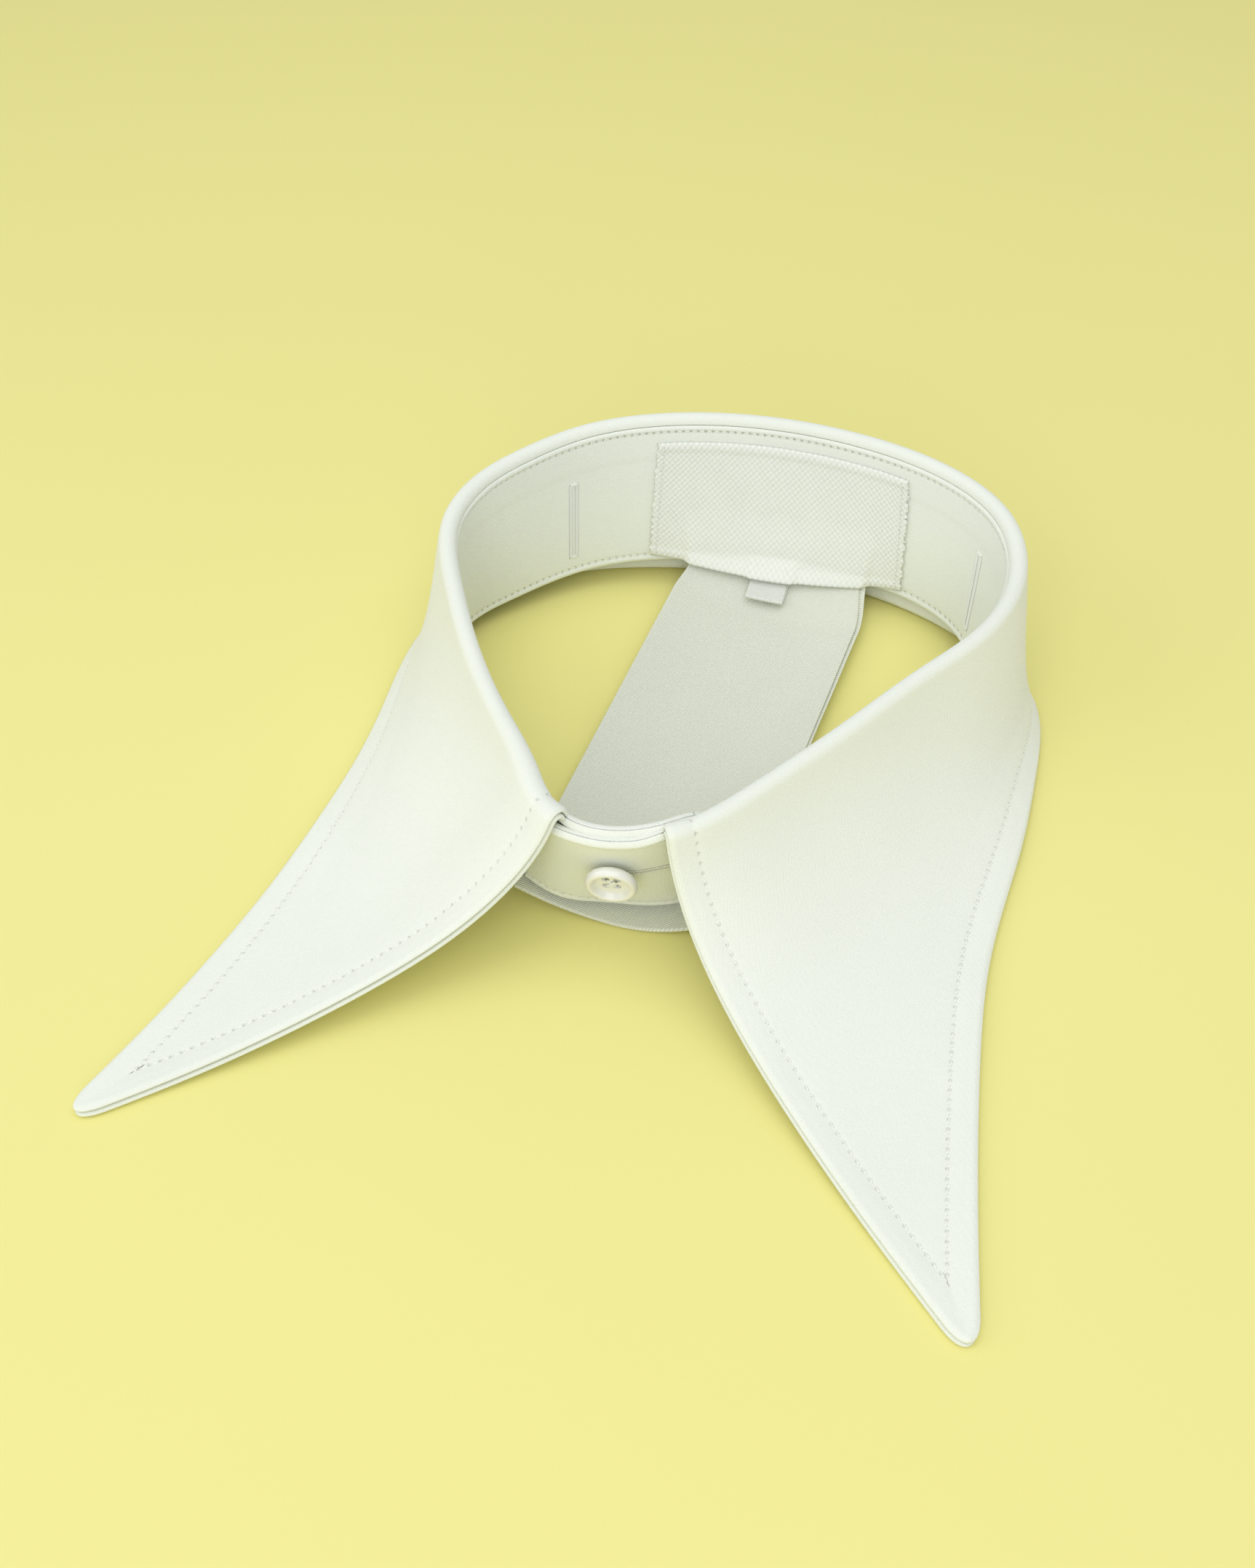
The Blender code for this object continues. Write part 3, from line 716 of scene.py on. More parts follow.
def leafMiddle(inset):
    # the surface between the plies, its points rounded at the tips, with its distances from the edges
    u, q, away, fromHem, hemAt, sections = leafStations(inset)
    reach, border, far = leafShape["tipReach"], leafShape["border"], 99.0
    a, b = np.meshgrid(np.minimum(away, far), np.minimum(fromHem, far), indexing="ij")
    newA, newB = roundCorner(a, b, reach)
    near = (a < reach) & (b < reach)
    count = len(borderSteps)
    perMm = np.where(u < 0, (u[count - 1] - u[0]) / border, (u[-1] - u[-count]) / border)
    slope = (1 - np.interp(u.ravel(), sections, hemAt[:, -1]).reshape(u.shape)) / border
    u = np.where(near, u - np.sign(u) * (newA - a) * perMm, u)
    q = np.where(near, q - (newB - b) * slope, q)
    middle = leafPoint(u, q)
    normal = slopeNormal(leafPoint, u, q, 1e-3, 1e-2)
    waves = softWaves(middle, leafShape["waves"])
    waves = waves * smoothStep((q - leafShape["waveFrom"]) / leafShape["waveRun"])
    pucker = softWaves(middle, leafShape["pucker"])
    pucker = pucker * ridge(np.minimum(a, b), leafShape["stitchIn"], leafShape["puckerReach"])
    return middle + normal * (waves + pucker)[..., None], normal, a, b


def leafPly(name, inset, facing):
    # one ply: plump along its turned edges, sunk along the stitches, thin where it is sewn to the stand
    middle, normal, fromFront, fromHem = leafMiddle(inset)
    seamGap, leafRun = runningLength(middle, 1), runningLength(middle, 0)
    edge = np.minimum(fromFront, fromHem)
    edgeApart, stitchIn = leafShape["edgeApart"], leafShape["stitchIn"] - inset
    outside, sewn = leafShape["edgeRadius"], edgeRound(seamGap, leafShape["seamRadius"])
    soft = np.minimum(edgeRound(fromFront, outside) * edgeRound(fromHem, outside), sewn)
    hard = np.minimum(edgeRound(edge, leafShape["innerRadius"]), sewn)
    puffed = (swell(edge, leafShape["puff"]) + swell(edge, leafShape["edgePuff"])
              - leafShape["groove"] * ridge(edge, stitchIn, leafShape["grooveReach"]))
    seam = edgeApart + (cut["face"] / 2 - edgeApart) * smoothStep(1 - seamGap / leafShape["seamRun"])
    outer = seam + (cut["face"] - seam + puffed) * soft
    inner = seam + (cut["gap"] / 2 - seam) * hard
    clothMap = np.stack([leafRun, seamGap], axis=-1)
    near, far = (outer, inner) if facing > 0 else (-inner, -outer)
    piece = sewnPly(name, middle, normal, near, far, clothMap, leafCotton)
    addStitchMap(piece, np.where(fromHem <= fromFront, leafRun, seamGap), edge - stitchIn)
    return piece, middle + normal * (outer * facing)[..., None], normal


topCollar, topFace, normal = leafPly("topCollar", 0.0, 1)
underCollar = leafPly("underCollar", leafShape["inset"], -1)[0]
print("collar: leaf surface", topFace.shape)
stitchStep = rowAt(borderSteps, leafShape["stitchIn"])
firstRow = len(leafShape["seamRows"]) + leafShape["rollRows"] + 2
hemRow = topFace.shape[1] - 1 - stitchStep
lastColumn = topFace.shape[0] - 1 - stitchStep


def threeSides(grid):
    # along one front edge, the hem and the other front edge, on the topstitching
    return np.concatenate([grid[stitchStep, firstRow:hemRow], grid[stitchStep:lastColumn, hemRow],
                           grid[lastColumn, hemRow:firstRow:-1]])


places = alongPath(threeSides(topFace), threeSides(normal), leafShape["stitchPitch"])
leafStitching = threadBeads("leafStitching", *places, leafShape["threadLength"], leafShape["threadRadius"])
print("collar: leaf sewn")

# the stand: two plies, stitched all round its edge, with two upright buttonholes in the inner one
standShape = {
    "topRows": np.array([0, 0.05, 0.15, 0.3, 0.5, 0.8, 1.1, 1.3, 1.4, 1.5, 1.6, 1.8, 2.2, 2.6, 3.4, 5.0, 7.0,
                         8.2, 8.8, 9.4, 10.2]),
    "footRows": np.array([0, 0.06, 0.2, 0.45, 0.8, 1.2, 1.55, 1.8, 2.0, 2.2, 2.5, 3.0, 4.0]),
    "endRows": 15,           # of the top rows' distances, which the two ends repeat
    "middleRows": 12,
    "columns": 420,
    "topLine": 1.5,          # of the stitches, in from the edge
    "endLine": 1.8,
    "footLine": 2.0,
    "endReach": 12,
    "stitchPitch": 1.9,
    "threadLength": 1.3,
    "threadRadius": 0.13,
    "edgeRadius": 1.0,       # of the turned edges outside, between the plies, and where the leaf is sewn in
    "innerRadius": 0.6,
    "seamRadius": 0.3,
    "seamRun": 1.5,
    "freeRun": 3.0,
    "puff": (0.22, 0.9, 1.0),          # a swelling's height, distance from the edge and reach
    "rimPuff": (0.35, 1.1, 1.5),       # more at the free tops of the two ends
    "groove": (0.1, 0, 0.7),
    "imprint": 9.0,          # where the leaf's turnings end between the plies
    "imprintRun": 1.2,
    "imprintDepth": 0.12,
    "waves": (0.3, 55.0, 5),           # height, length and seed
}


def standMiddle():
    # the surface between the plies, rounded at the ends, with its distances from the edges
    topRows, footRows = standShape["topRows"], standShape["footRows"]
    border, last = topRows[:standShape["endRows"]], topRows[standShape["endRows"]]
    inside = halfBand - last
    s = np.concatenate([border - halfBand, np.linspace(-inside, inside, standShape["columns"]),
                        halfBand - border[::-1]])
    top, foot = standEdges(s)[:2]
    height = np.linalg.norm(top - foot, axis=1)
    between = np.linspace(0, 1, standShape["middleRows"] + 2)[1:-1]
    f = [np.full(len(s), row) for row in footRows]
    f += [footRows[-1] + (height - topRows[-1] - footRows[-1]) * share for share in between]
    f = np.array(f + [height - row for row in topRows[::-1]]).T
    s = np.broadcast_to(s[:, None], f.shape)
    height = height[:, None]
    a = halfBand - np.abs(s)
    newA, newF = roundCorner(a, f, cut["footRounding"])
    newA, newE = roundCorner(newA, height - newF, cut["topRounding"])
    s = np.sign(s) * (halfBand - newA)
    middle = standPoint(s, 1 - newE / height)
    normal = slopeNormal(standPoint, s, 1 - newE / height, 0.3, 0.01)
    return middle + normal * softWaves(middle, standShape["waves"])[..., None], normal, s, a, f, height - f


standMid, standNormal, standPlace, fromEnd, fromFoot, fromTop = standMiddle()
edge = np.minimum(np.minimum(fromEnd, fromFoot), fromTop)
# its two plies close at every free edge, and stay apart where the leaf is sewn between them
free = smoothStep((np.abs(standPlace) - halfSeam) / standShape["freeRun"] + 0.5)
outside, sewn = standShape["edgeRadius"], standShape["seamRadius"]
soft = edgeRound(fromEnd, outside) * edgeRound(fromFoot, outside)
soft = soft * edgeRound(fromTop, sewn + (outside - sewn) * free)
hard = edgeRound(edge, standShape["innerRadius"])
seam = cut["face"] / 2 * (1 - free) * smoothStep(1 - fromTop / standShape["seamRun"])
lineGap = np.where(fromTop < fromFoot, fromTop - standShape["topLine"], fromFoot - standShape["footLine"])
endGap = fromEnd - standShape["endLine"]
nearEnd = (fromEnd < standShape["endReach"]) & (np.abs(endGap) < np.abs(lineGap))
lineGap = np.where(nearEnd, endGap, lineGap)
puffed = swell(edge, standShape["puff"]) + free * swell(fromTop, standShape["rimPuff"])
puffed = puffed - swell(lineGap, standShape["groove"])
imprint = smoothStep((standShape["imprint"] - fromTop) / standShape["imprintRun"])
imprint = imprint * standShape["imprintDepth"]
standRun = runningLength(standMid, 0)
standUp = runningLength(standMid, 1)
clothMap = np.stack([standRun, standUp], axis=-1)
innerOuter = seam + (cut["face"] - seam + puffed + imprint) * soft
outerOuter = seam + (cut["face"] - seam + puffed) * soft
hidden = seam + (cut["gap"] / 2 - seam) * hard
innerStand = sewnPly("innerStand", standMid, standNormal, innerOuter, hidden, clothMap, neckCotton)
outerStand = sewnPly("outerStand", standMid, standNormal, -hidden, -outerOuter, clothMap, bandCotton)
for piece in (innerStand, outerStand):
    addStitchMap(piece, np.where(nearEnd, standUp, standRun), lineGap)


def standLoop(grid):
    # once round the band on its stitch line: top, one end, foot, other end
    top = grid.shape[1] - 1 - rowAt(standShape["topRows"], standShape["topLine"])
    foot = rowAt(standShape["footRows"], standShape["footLine"])
    left = rowAt(standShape["topRows"], standShape["endLine"])
    right = grid.shape[0] - 1 - left
    return np.concatenate([grid[left:right, top], grid[right, top:foot:-1], grid[right:left:-1, foot],
                           grid[left, foot:top]])


innerFace = standMid + standNormal * innerOuter[..., None]
outerFace = standMid - standNormal * outerOuter[..., None]
rounds = []
for face, facing in ((innerFace, standNormal), (outerFace, -standNormal)):
    places = alongPath(standLoop(face), standLoop(facing), standShape["stitchPitch"], closed=True)
    rounds.append(threadBeads("standStitching", *places, standShape["threadLength"],
                              standShape["threadRadius"]))
standStitching = joined(rounds, "standStitching")
print("collar: stand sewn")


def placeAlong(x, y):
    # the place along the band nearest to a table point
    away = np.hypot(neckPoints[:, 0] - x, neckPoints[:, 1] - y)
    loop = (neckLength >= 0) & (neckLength <= neckAround)
    return neckLength[loop][np.argmin(away[loop])] - neckAround / 2


def standFace(s, v, distance):
    # points at a distance from the wall's middle, towards the neck if positive, with their frame
    s, v = np.broadcast_arrays(np.asarray(s, float), np.asarray(v, float))
    points = standPoint(s, v)
    facing = slopeNormal(standPoint, s, v, 0.3, 0.01)
    along = unit(standPoint(s + 0.3, v) - standPoint(s - 0.3, v))
    points = points + facing * (softWaves(points, standShape["waves"]) + distance)[..., None]
    return points, along, facing


buttonholes = {
    "uprightAt": [(-49.0, 35.4, -3.0), (52.0, 41.5, 5.0)],     # and the lean of its foot along the band
    "uprightFrom": 0.155,
    "uprightTo": 0.685,
    "apart": 0.9,            # of each row of stitches from the slit
    "pitch": 0.36,
    "length": 1.25,
    "radius": 0.18,
    "bars": (0.002, 0.012),  # past each end, in shares of the band's height
    "barLength": 2.9,
    "barRadius": 0.207,
    "tabFrom": -14.0,        # from the middle of the front, on the tab's outer face
    "tabTo": 0.5,
    "tabLevel": 0.56,
    "tabApart": 0.017,       # in shares of the band's height
    "tabBarPitch": 0.3,
    "tabBarLength": 2.7,
    "tabBarRadius": 0.22,
    "raised": 0.06,
}


def holeRow(s, level, inside, length, radius):
    # stitches that lie along the band on its inner face, or up and down on the tab's outer face
    face = cut["face"] + buttonholes["raised"]
    points, along, facing = standFace(s, level, face if inside else -face)
    if inside:
        return threadBeads("buttonhole", points, along, facing, length, radius)
    return threadBeads("buttonhole", points, np.cross(facing, along), -facing, length, radius)


def uprightHole(x, y, lean):
    # two rows of stitches up the band and a bar across each end
    low, high = buttonholes["uprightFrom"], buttonholes["uprightTo"]
    near, far = buttonholes["bars"]
    middle = placeAlong(x, y)
    level = np.linspace(low, high, int(cut["bandTall"] * (high - low) / buttonholes["pitch"]))
    made = []
    for side in (-1, 1):
        at = middle + side * buttonholes["apart"] + lean * (high - level) / (high - low)
        made.append(holeRow(at, level, True, buttonholes["length"], buttonholes["radius"]))
    level = np.array([low - far, low - near, high + near, high + far])
    at = middle + lean * (high - level) / (high - low)
    made.append(holeRow(at, level, True, buttonholes["barLength"], buttonholes["barRadius"]))
    return made


def tabHole():
    # the buttonhole that the button passes through, lying along the tab
    s = np.arange(buttonholes["tabFrom"], buttonholes["tabTo"], buttonholes["pitch"]) + neckAround / 2
    made = []
    for side in (-1, 1):
        level = buttonholes["tabLevel"] + side * buttonholes["tabApart"]
        made.append(holeRow(s, level, False, buttonholes["length"], buttonholes["radius"]))
    bar = s[0] - buttonholes["tabBarPitch"] * np.arange(1, 4)
    made.append(holeRow(bar, buttonholes["tabLevel"], False, buttonholes["tabBarLength"],
                        buttonholes["tabBarRadius"]))
    return made


rounds = tabHole()
for place in buttonholes["uprightAt"]:
    rounds += uprightHole(*place)
buttonholeStitching = joined(rounds, "buttonholeStitching")

# the woven label inside the centre back
labelShape = {
    "length": 65.0,
    "centre": -0.1,
    "slant": 1.0,
    "spread": 0.16,
    "low": 0.068,
    "high": 0.885,
    "sag": 0.118,            # of its straight foot over the band's, in the middle
    "half": 0.38,
    "rearHalf": 0.304,
    "off": 0.25,             # the band
    "pitch": 0.72,           # of its threads
    "relief": 0.02,
    "crisp": 0.6,
    "columns": 240,
    "rows": 108,
    "fray": 0.35,            # of the cut thread ends at the two short edges
    "frayReach": 1.5,
    "loop": 0.2,             # of the selvedge along the two long edges
    "loopReach": 1.0,
    "rim": (0.25, 1.2, 1.4),
    "edgeRadius": 0.5,
    "lift": 0.95,            # over the care tape's sewn end
    "liftBelow": 0.42,
    "liftRun": 0.34,
    "tape": (0.9, 28.0),     # middle and half width of the tape and the tab under it
    "tab": (-0.2, 8.5),
    "tabLift": 0.9,
    "tabRun": 0.08,
    "sideRun": 3.0,
    "follow": 165.0,         # of its loose foot with the tape, by the square of the share below the seam
    "seam": 0.1,
    "sewnIn": 1.6,
    "stitchPitch": 2.0,
    "threadLength": 1.5,
    "threadRadius": 0.15,
}


def overUnder(s, under):
    # 1 where the label passes over a piece of a given middle and half width
    middle, half = under
    return smoothStep((half - np.abs(s - middle)) / labelShape["sideRun"])


def wovenLabel():
    # a patch of the band's face, moved out and bowed at its foot, with a basket weave of two sine waves
    x = np.linspace(-labelShape["length"] / 2, labelShape["length"] / 2, labelShape["columns"])
    x, share = np.meshgrid(x, np.linspace(0, 1, labelShape["rows"]), indexing="ij")
    low = labelShape["low"] - labelShape["sag"] * (1 - (2 * x / labelShape["length"])**2)
    v = low + (labelShape["high"] - low) * share
    tall = (labelShape["high"] - labelShape["low"]) * cut["bandTall"]
    y = share * tall
    edgeX, edgeY = labelShape["length"] / 2 - np.abs(x), np.minimum(y, tall - y)
    # its edges waver by cut thread ends and by the loops of the selvedge
    rng = np.random.default_rng(21)
    ends = rng.uniform(-labelShape["fray"], labelShape["fray"], (2, labelShape["rows"] // 2))
    frayed = np.repeat(ends, 2, axis=1)
    turn = math.pi / labelShape["pitch"]
    shiftX = np.where(x > 0, frayed[1], frayed[0]) * smoothStep(1 - edgeX / labelShape["frayReach"])
    loops = labelShape["loop"] / cut["bandTall"] * np.abs(np.sin(x * turn))
    shiftV = loops * smoothStep(1 - edgeY / labelShape["loopReach"]) * np.where(y < tall / 2, -1, 1)
    s = (x + shiftX) * (1 + labelShape["spread"] * (1 - v)) + labelShape["centre"]
    s = s + labelShape["slant"] * (1 - v)
    # it rises over the sewn ends of the two tapes
    below = labelShape["seam"] - v
    lift = labelShape["lift"] * smoothStep((labelShape["liftBelow"] - v) / labelShape["liftRun"])
    lift = (lift + labelShape["follow"] * np.maximum(below, 0)**2) * overUnder(s, labelShape["tape"])
    overTab = overUnder(s, labelShape["tab"]) * smoothStep(below / labelShape["tabRun"])
    lift = lift + labelShape["tabLift"] * overTab + swell(edgeY, labelShape["rim"])
    points, along, facing = standFace(s, v + shiftV, 0.0)
    points = points + facing * (cut["face"] + labelShape["off"] + labelShape["half"] + lift)[..., None]
    basket = np.sin(x * turn) * np.sin(y * turn)
    relief = labelShape["relief"] * np.sign(basket) * np.abs(basket)**labelShape["crisp"]
    rounded = edgeRound(edgeX, labelShape["edgeRadius"]) * edgeRound(edgeY, labelShape["edgeRadius"])
    facing = gridNormal(points)
    made = sewnPly("wovenLabel", points, facing, (labelShape["half"] + relief) * rounded,
                   -labelShape["rearHalf"] * rounded, np.stack([x, y], axis=-1), tapeWeave)
    column = int(np.argmin(np.abs(edgeX[:, 0] - labelShape["sewnIn"])))
    sewn = []
    for at in (column, labelShape["columns"] - 1 - column):
        line = points[at, 2:-2] + facing[at, 2:-2] * (labelShape["half"] + labelShape["threadRadius"])
        places = alongPath(line, facing[at, 2:-2], labelShape["stitchPitch"])
        sewn.append(threadBeads("labelStitching", *places, labelShape["threadLength"],
                                labelShape["threadRadius"]))
    return made, joined(sewn, "labelStitching")


wovenLabelPiece, labelStitching = wovenLabel()
print("collar: label woven")

# the satin care tape, folded double, from under the label's foot to the floor and forward
careShape = {
    "width": 49.0,
    "aside": 0.0,
    "centre": 2.2,
    "slant": -1.2,
    "rootSlide": -1.4,       # of its sewn end to the left of where it lies
    "root": 0.10,
    "rootAway": 0.55,        # of its middle from the stand's inner face
    "landing": 33.0,
    "drop": 5.5,
    "lead": 6.5,
    "front": -74.0,
    "skew": 0.010,
    "curveLeft": 66.0,
    "curveRight": 100.0,
    "level": 0.66,
    "waves": (0.4, 34.0, 12),          # height, length and seed
    "waveRun": 0.8,
    "start": 0.0,
    "reach": 2.0,
    "away": 0.0,
    "flick": 0.0,
    "half": 0.2,
    "apart": 0.3,            # of each layer's middle from the tape's
    "slip": 1.7,             # how far the under layer has slipped to the right at its root
    "columns": 90,
}
# the size tab lies on the care tape and follows it
tabShape = {
    "width": 10.4,
    "aside": -1.0,
    "start": 0.24,
    "reach": 0.72,
    "away": 1.05,            # from the tape's middle
    "flick": 1.5,            # how much further its fold stands off
    "half": 0.2,
    "apart": 0.32,
    "slip": 0.9,
    "columns": 24,
}


def carePoint(w, t):
    # a cubic curve down from the band to the floor, then straight lines forward: w runs across the tape, and
    # t from 0 at the sewn end to 1 where it lands and 2 at its fold
    shape = w.shape
    w, t = w.ravel(), t.ravel()[:, None]
    s = w + careShape["centre"]
    sewn = s + careShape["rootSlide"]
    root = standFace(sewn, careShape["root"], cut["face"] + careShape["rootAway"])[0]
    top, foot = standEdges(sewn)[:2]
    down = unit(foot - top)
    bend = np.where(w < 0, careShape["curveLeft"], careShape["curveRight"])
    level = careShape["level"] + w * w / 2 / bend
    landing = np.c_[s, np.full(len(w), careShape["landing"]), level]
    end = np.c_[s + careShape["slant"], careShape["front"] + careShape["skew"] * np.maximum(s, 0)**2, level]
    k = t.clip(0, 1)
    lead = np.array([0.0, 1.0, 0.0]) * careShape["lead"]
    turned = ((1 - k)**3 * root + 3 * k * (1 - k)**2 * (root + down * careShape["drop"])
              + 3 * k * k * (1 - k) * (landing + lead) + k**3 * landing)
    return (turned + (end - landing) * (t - 1).clip(0, None)).reshape(shape + (3,))


def foldedTape(name, shape, material):
    # a tape that goes out along the care tape's line to its reach, folds under itself and comes back
    start, reach, apart, half = (shape[key] for key in ("start", "reach", "apart", "half"))
    w = shape["width"] / 2 * np.sin(np.linspace(-math.pi / 2, math.pi / 2, shape["columns"])) + shape["aside"]
    out = np.linspace(start, min(reach, 1), 46)
    if reach > 1:
        out = np.concatenate([out, np.linspace(1, reach, 60)[1:]])
    fold = np.linspace(0, math.pi, 14)[1:-1]
    home = out[::-1]
    t = np.concatenate([out, np.full(len(fold), reach), home])
    offset = np.concatenate([np.full(len(out), -1.0), -np.cos(fold), np.full(len(home), 1.0)]) * apart
    ahead = np.concatenate([np.zeros(len(out)), np.sin(fold), np.zeros(len(home))]) * apart
    back = np.concatenate([np.zeros(len(out) + len(fold)), 1 - home / reach]) * shape["slip"]
    wGrid, tGrid = np.meshgrid(w, t, indexing="ij")
    points = carePoint(wGrid, tGrid)
    step = 0.004
    facing = slopeNormal(carePoint, wGrid, tGrid, 0.2, step)
    forward = unit(carePoint(wGrid, tGrid + step) - carePoint(wGrid, tGrid - step))
    wave = softWaves(points, careShape["waves"]) * smoothStep(tGrid / careShape["waveRun"])
    off = shape["away"] + shape["flick"] * ((tGrid - start) / (reach - start))**2
    points = points + facing * (offset - off - np.abs(wave))[..., None] + forward * ahead[:, None]
    points[..., 0] += back
    side = np.minimum(w - w.min(), w.max() - w)
    rounded = edgeRound(side, 0.5)[:, None] * np.ones(len(t))
    rounded[:, (0, -1)] = 0
    flat = np.stack([wGrid, runningLength(points, 1)], axis=-1)
    return sewnPly(name, points, gridNormal(points), half * rounded, -half * rounded, flat, material)


careLabel = foldedTape("careLabel", careShape, satin)
sizeTab = foldedTape("sizeTab", tabShape, tabSatin)
print("collar: tapes folded")

# the button, turned with four holes and sewn on with crossed thread
buttonShape = {
    "aside": 0.2,
    "level": 0.575,
    "tilt": 7.0,             # its face is turned up on the thread, in degrees
    "standOff": 1.5,         # on its wound shank
    "profile": [(0, 1.5), (2.6, 1.5), (3.2, 1.6), (3.7, 2.0), (4.1, 2.6), (4.6, 3.0), (5.1, 2.95), (5.5, 2.6),
                (5.75, 2.0), (5.7, 1.4), (5.3, 0.75), (4.6, 0.3), (3.6, 0.0)],
    "steps": 144,
    "rings": (46, 60),       # over its flat middle and from there round the rim
    "dish": 3.0,
    "holeRadius": 0.75,
    "holeEase": 0.22,
    "holeSpread": 1.7,
    "holeDepth": 1.1,
    "threadLevel": 1.75,
    "threadCross": 0.14,     # one pair of strands over the other
    "threadApart": 0.17,
    "threadLength": 3.9,
    "threadRadius": 0.2,
    "threadSink": 1.1,
}


def buttonPlace():
    # the middle of the button's back, its axis, and the direction up its face
    top, foot, out = standEdges(np.array([neckAround / 2 - buttonShape["aside"]]))
    rise = unit(top - foot)[0]
    axis = unit(out[0] - rise * (out[0] @ rise))
    middle = foot[0] + (top - foot)[0] * buttonShape["level"]
    middle = middle + axis * (cut["face"] + buttonShape["standOff"])
    tilt = math.radians(buttonShape["tilt"])
    level, up = math.cos(tilt), math.sin(tilt)
    return middle, axis * level + rise * up, rise * level - axis * up


def makeButton():
    # a turned profile with four sunk holes, and crossed thread from hole to hole
    middle, axis, rise = buttonPlace()
    table = np.array(buttonShape["profile"])
    chord = np.r_[0, np.cumsum(np.linalg.norm(np.diff(table, axis=0), axis=1))]
    flat, rim = buttonShape["rings"]
    at = np.r_[np.linspace(0, chord[1], flat)[:-1], np.linspace(chord[1], chord[-1], rim)]
    line = spline(chord, table, at)
    angle = np.arange(buttonShape["steps"]) * 2 * math.pi / buttonShape["steps"]
    r, z = line[1:, 0], line[1:, 1]
    x, y = r[:, None] * np.cos(angle), r[:, None] * np.sin(angle)
    near = np.full(x.shape, np.inf)
    for k in range(4):
        turn = math.pi / 4 + k * math.pi / 2
        hole = buttonShape["holeSpread"] * np.array([math.cos(turn), math.sin(turn)])
        near = np.minimum(near, np.hypot(x - hole[0], y - hole[1]))
    sunk = smoothStep((buttonShape["holeRadius"] - near) / buttonShape["holeEase"] + 0.5)
    z = z[:, None] - buttonShape["holeDepth"] * sunk * (r < buttonShape["dish"])[:, None]
    side = np.cross(rise, axis)
    local = np.concatenate([np.stack([x, y, z], axis=-1).reshape(-1, 3), [[0, 0, line[0, 1]], [0, 0, 0]]])
    points = middle + local[:, :1] * side + local[:, 1:2] * rise + local[:, 2:] * axis
    count, steps = len(r), len(angle)
    index = np.arange(count * steps).reshape(count, steps)
    index = np.concatenate([index, index[:, :1]], axis=1)
    faces = gridQuads(index).tolist()
    faces += [[count * steps, int(a), int(b)] for a, b in zip(index[0, :-1], index[0, 1:])]
    faces += [[count * steps + 1, int(b), int(a)] for a, b in zip(index[-1, :-1], index[-1, 1:])]
    made = makeMesh("shellButton", points, faces, shell)
    centres, ways = [], []
    for diagonal in (1, -1):
        way = unit(side + diagonal * rise)
        level = buttonShape["threadLevel"] + buttonShape["threadCross"] * diagonal
        for strand in (-1, 1):
            centres.append(middle + axis * level + np.cross(axis, way) * strand * buttonShape["threadApart"])
            ways.append(way)
    sewn = threadBeads("buttonThread", np.array(centres), np.array(ways), np.array([axis] * len(ways)),
                       buttonShape["threadLength"], buttonShape["threadRadius"], buttonShape["threadSink"])
    return made, sewn


buttonPiece, buttonThread = makeButton()
print("collar: button sewn on")

# which solids the pieces stand for, what finish they take and how each cloth was cut
cloths = [
    # piece, solid, slot, flat width and length in metres, area in square metres, how it is held
    (topCollar, "top_collar", "cotton", (0.56, 0.118), 0.0255, "folded"),
    (underCollar, "under_collar", "cotton", (0.55, 0.115), 0.0240, "folded"),
    (outerStand, "outer_stand", "cotton", (0.447, 0.038), 0.0148, "laid"),
    (innerStand, "inner_stand", "cotton", (0.445, 0.038), 0.0146, "laid"),
    (wovenLabelPiece, "woven_label", "woven_tape", (0.067, 0.033), 0.0022, "laid"),
    (careLabel, "care_label", "satin_tape", (0.049, 0.245), 0.0120, "folded"),
    (sizeTab, "size_tab", "satin_tape", (0.0104, 0.019), 0.00019, "folded"),
]


def addFloor():
    half = 3.0
    made = bpy.data.meshes.new("floor")
    corners = [(-half, -half, 0), (half, -half, 0), (half, half, 0), (-half, half, 0)]
    made.from_pydata(corners, [], [(0, 1, 2, 3)])
    made.materials.append(newMaterial("paleFloor", {
        "pale": (0.84, 0.79, 0.30),
        "deep": (0.82, 0.77, 0.28),
        "mottle": 0.2,
        "finish": {"Roughness": 0.9, "Specular IOR Level": 0.2},
    })[0])
    piece = bpy.data.objects.new("floor", made)
    bpy.context.scene.collection.objects.link(piece)


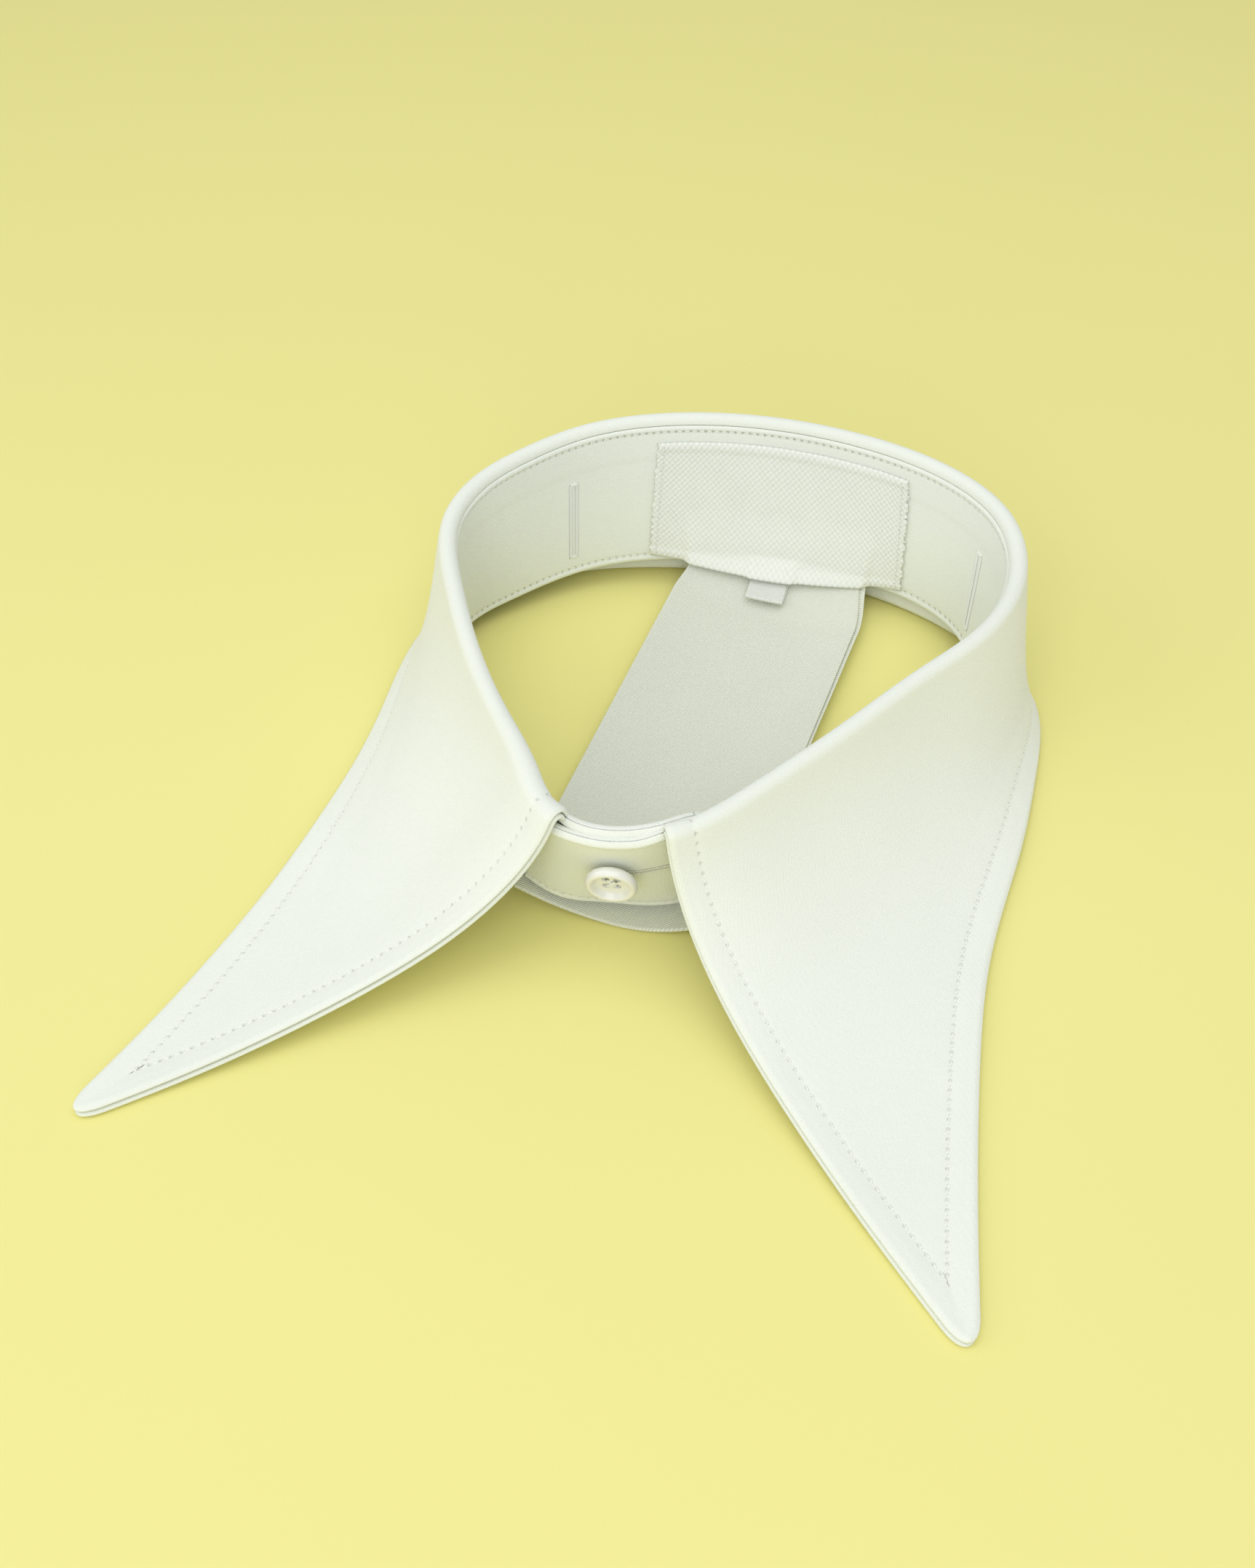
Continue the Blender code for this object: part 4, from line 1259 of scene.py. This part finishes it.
addFloor()
for piece, solid, slotName, flat, area, held in cloths:
    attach(piece, "root")
    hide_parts(solid)
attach(buttonPiece, "root")
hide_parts("button")
for piece in (leafStitching, standStitching, buttonholeStitching, labelStitching, buttonThread):
    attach(piece, "root")

# the camera, at the photograph's angle
view = {
    "azimuth": 20.4,
    "elevation": 46.44,
    "roll": -1.28,
    "distance": 433.4,
    "aim": (-11.7, -32.1, 0.0),
    "lens": 41.74,
    "sensor": 36.0,
}


def addCamera():
    azimuth, elevation, roll = (math.radians(view[name]) for name in ("azimuth", "elevation", "roll"))
    back = np.array([math.sin(azimuth) * math.cos(elevation), -math.cos(azimuth) * math.cos(elevation),
                     math.sin(elevation)])
    right = np.array([math.cos(azimuth), math.sin(azimuth), 0.0])
    up = np.cross(back, right)
    turned = Matrix([math.cos(roll) * right + math.sin(roll) * up,
                     math.cos(roll) * up - math.sin(roll) * right, back]).transposed()
    data = bpy.data.cameras.new("camera")
    data.lens = view["lens"]
    data.sensor_width = view["sensor"]
    made = bpy.data.objects.new("camera", data)
    made.location = (np.array(view["aim"]) + tableShift + back * view["distance"]) * mm
    made.rotation_euler = turned.to_euler()
    bpy.context.scene.collection.objects.link(made)
    bpy.context.scene.camera = made


lights = [
    # name, place, size, power; each is aimed at the origin
    ("overhead", (0.05, 0.0, 0.95), 1.1, 3.9),
    ("left", (-0.80, -0.45, 0.60), 0.8, 2.0),
    ("front", (0.20, -0.90, 0.62), 0.8, 3.4),
]
sky = {"Color": (0.95, 0.97, 1.0, 1.0), "Strength": 0.56}


def addLights():
    for name, place, size, power in lights:
        data = bpy.data.lights.new(name, "AREA")
        data.size = size
        data.energy = power
        made = bpy.data.objects.new(name, data)
        made.location = place
        made.rotation_euler = (-Vector(place)).to_track_quat("-Z", "Y").to_euler()
        bpy.context.scene.collection.objects.link(made)
    world = bpy.data.worlds.new("studio")
    world.use_nodes = True
    for name, value in sky.items():
        world.node_tree.nodes["Background"].inputs[name].default_value = value
    bpy.context.scene.world = world
    bpy.context.scene.view_settings.view_transform = "Standard"


addCamera()
addLights()
print("collar: done")
